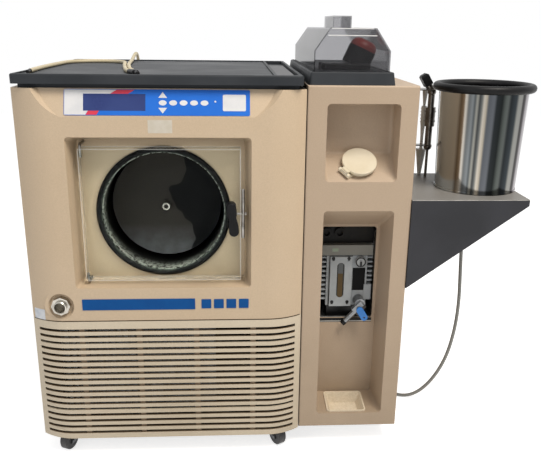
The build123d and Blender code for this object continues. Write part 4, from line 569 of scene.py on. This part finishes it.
# plated ring on the plate's stud. Its depth is that of the plate's first place: the plate now
# stands 25 mm further back, so the ring hangs in front of it.
stud_x, stud_depth, stud_z = -310, 107.2, 594
round_heads("plate_stud", [(stud_x, stud_depth, stud_z)], 8.8, 0.7, nickel, hole=5.2)
black_rubber = finish("black_rubber", "101011", "18181A", 0.45, patch=26, grain=0.12, grain_size=1.5,
                      specular=0.18)
dress(black_rubber, "drum_ring", "probe_ends")

# the same rubber on the chamber's mouth, with dried grease and frost residue in patches inside
greased, tree, out = new_material("black_rubber_with_dried_grease")
ring_low, ring_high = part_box("chamber_gasket")
ring_middle = (ring_low + ring_high) / 2
place = add_node(tree, "TexCoord")
offset = add_node(tree, "VectorMath", {0: place.outputs["Object"], 1: ring_middle}, operation="SUBTRACT")
flat = add_node(tree, "VectorMath", {0: offset.outputs[0], 1: (1, 0, 1)}, operation="MULTIPLY")
radius = add_node(tree, "VectorMath", {0: flat.outputs[0]}, operation="LENGTH")
outer = (ring_high.x - ring_low.x) / 2
inner_half = add_node(tree, "MapRange", {0: radius.outputs["Value"], 1: outer - 0.019, 2: outer - 0.009,
                                         3: 1.0, 4: 0.0})
crust = add_node(tree, "TexNoise", {"Vector": place.outputs["Object"], "Scale": 55.0, "Detail": 7.0,
                                    "Roughness": 0.75})
patchy = add_node(tree, "MapRange", {0: crust.outputs[0], 1: 0.45, 2: 0.56})
share = add_node(tree, "Math", {0: inner_half.outputs[0], 1: patchy.outputs[0]}, operation="MULTIPLY")
tone = add_node(tree, "Mix", {"Factor": share.outputs[0], 6: linear("101011"), 7: linear("7F8A7E")},
                data_type="RGBA")
rubber = add_node(tree, "BsdfPrincipled", {"Base Color": tone.outputs[2], "Roughness": 0.5,
                                           "Specular IOR Level": 0.15})
tree.links.new(rubber.outputs[0], out.inputs["Surface"])
dress(greased, "chamber_gasket")

# ================================================================ door
# Machined cast acrylic plate, clear, 25 mm thick, with polished edges that gather light. It only
# bends what is behind it, and by less than real acrylic does, because reflections of the white
# room would hide the dark chamber. Light passes straight through its edges and to the shadows.
clear_acrylic, tree, out = new_material("clear_cast_acrylic")
path = add_node(tree, "LightPath")
glass = add_node(tree, "BsdfRefraction", {"Color": linear("F6F8F7"), "Roughness": 0.0, "IOR": 1.13})
thin = add_node(tree, "BsdfTransparent", {"Color": linear("F4F6F5")})
place = add_node(tree, "TexCoord")
facing = add_node(tree, "SeparateXYZ", {0: place.outputs["Normal"]})
edge_face = within(tree, facing.outputs["Y"], -0.7, 0.7)
straight = add_node(tree, "Math", {0: path.outputs["Is Shadow Ray"], 1: edge_face}, operation="MAXIMUM")
plate = add_node(tree, "MixShader", {0: straight.outputs[0], 1: glass.outputs[0], 2: thin.outputs[0]})
tree.links.new(plate.outputs[0], out.inputs["Surface"])
dress(clear_acrylic, "door_plate")


def veiled(name, share, colour):
    """Clear acrylic that a thin diffuse veil of a colour covers by a share."""
    material, tree, out = new_material(name)
    clear = add_node(tree, "BsdfTransparent", {"Color": linear("FFFFFF")})
    white = add_node(tree, "BsdfDiffuse", {"Color": linear(colour)})
    veil = add_node(tree, "MixShader", {0: share, 1: clear.outputs[0], 2: white.outputs[0]})
    tree.links.new(veil.outputs[0], out.inputs["Surface"])
    return material


# Its sawn and flame-polished edges are a little milky, drawn as thin sheets along its four sides,
# and the light its arrises catch is painted: narrow whitish bands of painted highlight. The
# plate's box starts at its hinge eyes, 10 mm in front of its face, so the sheets and the front
# bands stand out nearly that far.
milky_edge = veiled("polished_acrylic_edge", 0.1, "F2F1EC")
arris = veiled("acrylic_arris_painted_highlight", 0.35, "F6F6F2")
(x0, y0, z0), (x1, y1, z1) = corners("door_plate")
# short of the ends, and the depths under a side between which a sheet and a band lie
short, sheet_out, sheet_in, band_in, band_deep = 1, 0.1, 0.3, 1.5, 0.5
for side, low, high in (
        ("top", (x0 + short, y0 + short, z1 - sheet_in), (x1 - short, y1 - short, z1 - sheet_out)),
        ("foot", (x0 + short, y0 + short, z0 + sheet_out), (x1 - short, y1 - short, z0 + sheet_in)),
        ("hinge", (x0 + sheet_out, y0 + short, z0 + short), (x0 + sheet_in, y1 - short, z1 - short)),
        ("latch", (x1 - sheet_in, y0 + short, z0 + short), (x1 - sheet_out, y1 - short, z1 - short))):
    slab("door_edge_" + side, low, high, milky_edge, "door")
fore, aft = (y0 + sheet_out, y0 + band_deep), (y1 - band_deep, y1 - sheet_out)
along_x, along_z = (x0 + short, x1 - short), (z0 + short, z1 - short)
at_top, at_foot = (z1 - band_in, z1 - sheet_in), (z0 + sheet_in, z0 + band_in)
at_hinge, at_latch = (x0 + sheet_in, x0 + band_in), (x1 - band_in, x1 - sheet_in)
for side, *spans in (("top", along_x, fore, at_top), ("foot", along_x, fore, at_foot),
                     ("hinge", at_hinge, fore, along_z), ("latch", at_latch, fore, along_z),
                     ("top_rear", along_x, aft, at_top), ("latch_rear", at_latch, aft, along_z)):
    low, high = zip(*spans)
    slab("door_arris_highlight_" + side, low, high, arris, "door")

# knobs, glands and the filter's base: black satin mouldings with a fine spark-eroded grain
black_moulding = finish("black_satin_moulding", "0D0D0F", "151517", 0.4, patch=30, grain=0.1, grain_size=1.0,
                        specular=0.15)
dress(black_moulding, "latch_knob", "valve_knob", "strain_reliefs", "mist_filter", "fan_blades")

# ================================================================ behind the grille
# Compressor can, drawn from sheet steel and enamelled black, and the condenser's finned block in
# bare aluminium. Only a glint of either shows between the slots.
black_enamel = finish("black_gloss_enamel", "08080A", "121213", 0.3, patch=16, specular=0.06)
dress(black_enamel, "compressor")
bare_fins = finish("bare_aluminium_fins", "7E8081", "636566", 0.45, metallic=1.0, patch=30)
dress(bare_fins, "condenser_block")

# a black strip along the pan's front edge, just behind the lowest slots: a dark sheet of painted shade
(pan_x, pan_y, pan_z), _ = corners("base_pan")
shade_sheet_paint = finish("black_painted_shade_sheet", "0B0B0C", "121213", 0.8, patch=40, specular=0.1)
slab("pan_front_shade_sheet", (pan_x + 8, pan_y - 2.5, pan_z - 7), (-10, pan_y - 0.05, pan_z + 8), shade_sheet_paint,
     edge=0.0003)

# ================================================================ hood
# Thin smoky clear moulding over the mist filter, with the filter's red clear cap inside. It is
# nearly clear face on and greyer where it is seen at a slant, and its side next the deck cover
# is tinted greyer.
smoky, tree, out = new_material("smoky_clear_moulding")
facing = add_node(tree, "LayerWeight", {"Blend": 0.35})
hood_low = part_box("hood")[0]
place = add_node(tree, "TexCoord")
axes = add_node(tree, "SeparateXYZ", {0: place.outputs["Object"]})
near_deck = within(tree, axes.outputs["X"], -5.0, hood_low.x + 0.03)
behind_face = within(tree, axes.outputs["Y"], hood_low.y + 0.003, 5.0)
side = add_node(tree, "Math", {0: near_deck, 1: behind_face}, operation="MULTIPLY")
smoke = add_node(tree, "Mix", {"Factor": side.outputs[0], 6: linear("ECECED"), 7: linear("A6A6A7")},
                 data_type="RGBA")
clear = add_node(tree, "BsdfTransparent", {"Color": smoke.outputs[2]})
skin = add_node(tree, "BsdfPrincipled", {"Base Color": linear("66666A"), "Roughness": 0.12, "IOR": 1.49})
amount = add_node(tree, "MapRange", {0: facing.outputs["Facing"], 1: 0.0, 2: 1.0, 3: 0.08, 4: 0.85})
blend = add_node(tree, "MixShader", {0: amount.outputs[0], 1: clear.outputs[0], 2: skin.outputs[0]})
tree.links.new(blend.outputs[0], out.inputs["Surface"])
dress(smoky, "hood")
red_cap = finish("red_clear_cap", "93362F", "7A2C27", 0.3, patch=30, specular=0.3)
dress(red_cap, "mist_filter_cap")

# two pale strips across its front, below the roof, are painted highlights along its edges
edge_highlight_paint = finish("painted_hood_edge_highlight", "E6E6E6", "D8D8D8", 0.2, patch=40)
hood_face = corners("hood")[0][1]
for name, left, right, foot, height in (("hood_edge_highlight", 43, 146, 975.8, 1.8),
                                        ("hood_top_edge_highlight", 50, 138, 989.8, 1.6)):
    slab(name, (left, hood_face - 0.3, foot), (right, hood_face + 0.3, foot + height), edge_highlight_paint,
         edge=0.0003)

# ================================================================ oil filler and drip tray
# Turned cream acetal ring and lid, with a dull sheen, and under the pump a thin vacuum-formed
# tray, loose on the alcove's floor, whose sheet is mottled by drips.
cream = finish("cream_acetal", "D9CFB9", "D0C4AA", 0.4, patch=22)
dress(cream, "fill_ring", "fill_lid")
tray_sheet = finish("thin_cream_sheet", "DDD1BC", "D2C4AC", 0.4, patch=220, specular=0.3)
dress(tray_sheet, "drip_tray")

# ================================================================ vacuum pump
# Cast body in grey-blue paint, darker motor, dark port block, oil behind a clear window, and a
# valve with a blue lever.
pump_grey = finish("grey_blue_pump_paint", "B0B6BA", "A0A6AA", 0.4, patch=24, grain=0.15, grain_size=1.4,
                   specular=0.3)
# its two feet are painted black, as painted shade under the pump's body, and the top bar is painted a little
# darker
feet_top, bar_foot = 0.3297, 0.4622
tree = pump_grey.node_tree
place = add_node(tree, "TexCoord")
height = add_node(tree, "SeparateXYZ", {0: place.outputs["Object"]})
lay_over(pump_grey, within(tree, height.outputs["Z"], -1.0, feet_top), "0B0B0C")
lay_over(pump_grey, within(tree, height.outputs["Z"], bar_foot, 1.0), "85857F")
dress(pump_grey, "pump_body")
motor_grey = finish("grey_motor_paint", "242527", "1C1D1F", 0.45, patch=20, grain=0.2, grain_size=1.6,
                    specular=0.12)
dress(motor_grey, "pump_motor")
port_casting = finish("dark_cast_metal", "141312", "22201D", 0.45, patch=30, grain=0.2, grain_size=1.5,
                      specular=0.12)
dress(port_casting, "pump_port_block")
valve_metal = finish("dull_zinc_casting", "8A8C8E", "757779", 0.35, metallic=0.8, patch=40)
dress(valve_metal, "drain_valve")
knob_grey = finish("grey_moulded_knob", "B4B8BA", "A2A6A8", 0.4, patch=30, specular=0.3)
dress(knob_grey, "ballast_knob")
blue_lever = finish("blue_moulded_lever", "2878C8", "2370BC", 0.35, patch=30)
dress(blue_lever, "drain_lever")
# the sight glass shows brown oil up to its level; the empty glass above it is painted grey, a painted glare,
# and it is painted dark at both sides
sight, tree, out = new_material("oil_behind_window")
place = add_node(tree, "TexCoord")
axes = add_node(tree, "SeparateXYZ", {0: place.outputs["Object"]})
oil_level, meniscus = 0.4145, 0.002
level = add_node(tree, "MapRange", {0: axes.outputs["Z"], 1: oil_level, 2: oil_level + meniscus})
oil = add_node(tree, "Mix", {"Factor": level.outputs[0], 6: linear("523E0F"), 7: linear("585C5E")},
               data_type="RGBA")
window_middle = within(tree, axes.outputs["X"], seam + 0.1, seam + 0.112)
dark_sided = add_node(tree, "Mix", {"Factor": window_middle, 6: linear("1A1812"), 7: oil.outputs[2]}, data_type="RGBA")
window = add_node(tree, "BsdfPrincipled", {"Base Color": dark_sided.outputs[2], "Roughness": 0.12, "IOR": 1.5,
                                           "Specular IOR Level": 0.2})
tree.links.new(window.outputs[0], out.inputs["Surface"])
dress(sight, "sight_glass")

# the pump's small parts: cap screws round the sight glass, a bare black plate, a bare green label
# on the top bar, and the black ring and pointer printed on the ballast knob
black_steel = finish("black_oxide_screws", "0C0C0D", "161617", 0.4, patch=80, specular=0.2)
pump_face, recess = corners("pump_body")[0][1], 136
glass_low, glass_high = corners("sight_glass")
glass_x, glass_z = [(glass_low[axis] + glass_high[axis]) / 2 for axis in (0, 2)]
screw_x, screw_z = 19, 57
round_heads("pump_screws", [(glass_x + sx, pump_face, glass_z + sz) for sx in (-screw_x, screw_x)
                            for sz in (-screw_z, screw_z)], 4.2, 1.0, black_steel)
slab("pump_plate", (137, recess - 0.5, 369), (168, recess, 428), black_enamel)
# dark lines round the sight glass's frame and under the top bar: painted shade in the joints
for name, left, right in (("frame_joint_left", 78.4, 80), ("frame_joint_right", 134, 135.6)):
    slab(name, (left, recess - 0.5, 330), (right, recess, 462), black_steel)
slab("bar_joint", (72, recess - 0.6, 459.8), (186, recess - 0.1, 461.8), black_steel)
green_label = finish("bare_green_label", "8FA08A", "9AA996", 0.5, patch=60)
slab("pump_label", (84, 131.6, 472), (99, 132.1, 480), green_label)
knob_low, knob_high = corners("ballast_knob")
knob_x, knob_z = [(knob_low[axis] + knob_high[axis]) / 2 for axis in (0, 2)]
knob_face = knob_low[1]
round_heads("ballast_ring", [(knob_x, knob_face + 3, knob_z)], 12.9, 0.4, black_steel,
            "ballast", hole=9.8)
slab("ballast_pointer", (knob_x - 2.2, knob_face - 0.3, knob_z - 11.5),
     (knob_x + 2.2, knob_face + 0.2, knob_z + 3), black_steel, "ballast")

# folded steel lip of the pump's deck, which covers the lower edge of the window in the alcove
deck_paint = finish("dark_deck_paint", "17181A", "222324", 0.4, patch=40, specular=0.12)
lip_left, lip_right, wall_face = 55.5, 186.5, 119.9
gap_foot, edge_foot, lip_foot, lip_top = 291.0, 292.6, 294.6, 302
slab("deck_lip", (lip_left, wall_face - 0.5, lip_foot), (lip_right, wall_face, lip_top), deck_paint)
# the bright line along the lip's lower fold is a painted highlight, above the painted shadow gap
lip_highlight_paint = finish("painted_lip_highlight", "D6D6D2", "BDBDB8", 0.35, patch=60, specular=0.3)
slab("deck_lip_edge", (lip_left, wall_face - 0.7, edge_foot), (lip_right, wall_face, lip_foot), lip_highlight_paint)
slab("deck_lip_shadow_gap", (lip_left, wall_face - 0.3, gap_foot), (lip_right, wall_face, edge_foot),
     black_steel)


def rod(name, start, end, radii, material, sides=20):
    """Turned rod between two points in millimetres: circles of the given radii at even steps
    along its axis. A point of a circle is its middle plus the radius times cos a along one
    direction square to the axis and sin a along the other."""
    start, end = Vector(start), Vector(end)
    axis = (end - start).normalized()
    side = axis.orthogonal().normalized()
    other = axis.cross(side)
    turned = 2 * pi * np.arange(sides)[:, None] / sides
    circle = np.cos(turned) * np.array(side) + np.sin(turned) * np.array(other)
    along = np.linspace(0, 1, len(radii))[:, None]
    middles = (1 - along) * np.array(start) + along * np.array(end)
    return swept(name, middles[:, None] + np.array(radii)[:, None, None] * circle, material)


# black sleeve pushed on the end of the drain valve's spout
spout_lean = radians(43)
start, end = [(150 - along * sin(spout_lean), 104, 336 - along * cos(spout_lean)) for along in (48, 57.4)]
rod("spout_sleeve", start, end, (7.0, 7.4, 7.4, 6.6), black_rubber)

# ================================================================ side shelf
# Folded steel bracket, sprayed dark grey with a fine texture, screwed to the tower's side. Its top
# is painted lighter, as painted light from above, and a painted highlight runs along the fold in front.
shelf_paint = finish("dark_grey_textured_paint", "2E2F34", "28292D", 0.5, patch=10, grain=0.3, grain_size=1.3,
                     specular=0.3)
tree = shelf_paint.node_tree
place = add_node(tree, "TexCoord")
height = add_node(tree, "SeparateXYZ", {0: place.outputs["Object"]})
# the top is painted lighter than the sides: painted light from above
lay_over(shelf_paint, within(tree, height.outputs["Z"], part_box("shelf")[1].z - 0.001, 2.0), "7D7B78")
dress(shelf_paint, "shelf")
shelf_low, shelf_high = corners("shelf")
fold_highlight_paint = finish("painted_fold_highlight", "C9C7C3", "9A9894", 0.4, patch=30, specular=0.3)
slab("shelf_fold_highlight", (shelf_low[0] + 0.5, shelf_low[1] - 0.15, shelf_high[2] - 1.6),
     (shelf_high[0] - 0.5, shelf_low[1] + 0.1, shelf_high[2] - 0.1), fold_highlight_paint)

# ================================================================ drum
# Rolled and polished stainless sheet, welded up to a tapered cup with a black rubber ring on
# its rim. The room's reflections in the polish are painted into its colour as upright bands, light and dark.
bright_steel, tree, out = new_material("bright_rolled_stainless")
centre = (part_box("drum")[0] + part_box("drum")[1]) / 2
place = add_node(tree, "TexCoord")
offset = add_node(tree, "VectorMath", {0: place.outputs["Object"], 1: (centre.x, centre.y, 0)},
                  operation="SUBTRACT")
parts = add_node(tree, "SeparateXYZ", {0: offset.outputs[0]})
turned = add_node(tree, "Math", {0: parts.outputs["Y"], 1: parts.outputs["X"]}, operation="ARCTAN2")
turn_share = add_node(tree, "MapRange", {0: turned.outputs[0], 1: -pi, 2: pi})
reflection_bands = add_node(tree, "ValToRGB", {0: turn_share.outputs[0]})
# tone of each painted reflection band by its share of a turn, from the side next the tower round by the front
tones = [(0.0, "C4C8C8"), (0.06, "D2D8DA"), (0.105, "CACCCA"), (0.118, "7E7468"), (0.127, "A79C8C"),
         (0.138, "B9B3AA"), (0.146, "5A5C5C"), (0.16, "74787A"), (0.168, "4E5254"), (0.176, "8C8B84"),
         (0.184, "343638"), (0.193, "6A6C6A"), (0.199, "B4ADA2"), (0.207, "A29A8C"), (0.213, "505358"),
         (0.233, "5E6166"), (0.242, "2B2E30"), (0.262, "232626"), (0.276, "525754"), (0.285, "585C5A"),
         (0.295, "292C2E"), (0.322, "383E42"), (0.333, "8E8E89"), (0.35, "8C8C88"), (0.36, "1C1718"),
         (0.374, "221E1F"), (0.384, "8A8488"), (0.45, "7E787C"), (0.6, "4A4A4C"), (0.7, "A6A4A0"),
         (0.85, "5E5E60"), (1.0, "C4C8C8")]
stops = reflection_bands.color_ramp.elements
for number, (place_on, tint) in enumerate(tones):
    stop = stops[number] if number < 2 else stops.new(place_on)
    stop.position = place_on
    stop.color = linear(tint)
steel = add_node(tree, "BsdfPrincipled", {"Base Color": reflection_bands.outputs[0], "Metallic": 1.0,
                                          "Roughness": 0.14})
tree.links.new(steel.outputs[0], out.inputs["Surface"])
dress(bright_steel, "drum")

# ================================================================ manifold
# Steel pipe and two plates on the tower's side, with a brownish nickel plate that still shines,
# and a milky moulded adaptor pushed on beside them.
pipe_metal = finish("brown_grey_plated_pipe", "5E5A56", "83807C", 0.3, metallic=0.9, patch=50)
dress(pipe_metal, "manifold_pipe")
milky = finish("milky_moulded_adaptor", "E6E6E2", "D6D6D2", 0.3, patch=30)
dress(milky, "manifold_adaptor")

# ================================================================ casters
# Forks pressed from sheet steel with a dark zinc plate, and moulded black rubber treads, dull
# with floor dust.
dark_zinc = finish("dark_zinc_plate", "5A5B5D", "707173", 0.4, metallic=1.0, patch=60)
dress(dark_zinc, "left_front_fork", "right_front_fork", "rear_forks")
tread = finish("black_caster_rubber", "1B1B1D", "29292A", 0.5, patch=40, grain=0.15, grain_size=1.5)
dress(tread, "left_front_wheel", "right_front_wheel", "left_rear_wheel", "right_rear_wheel")
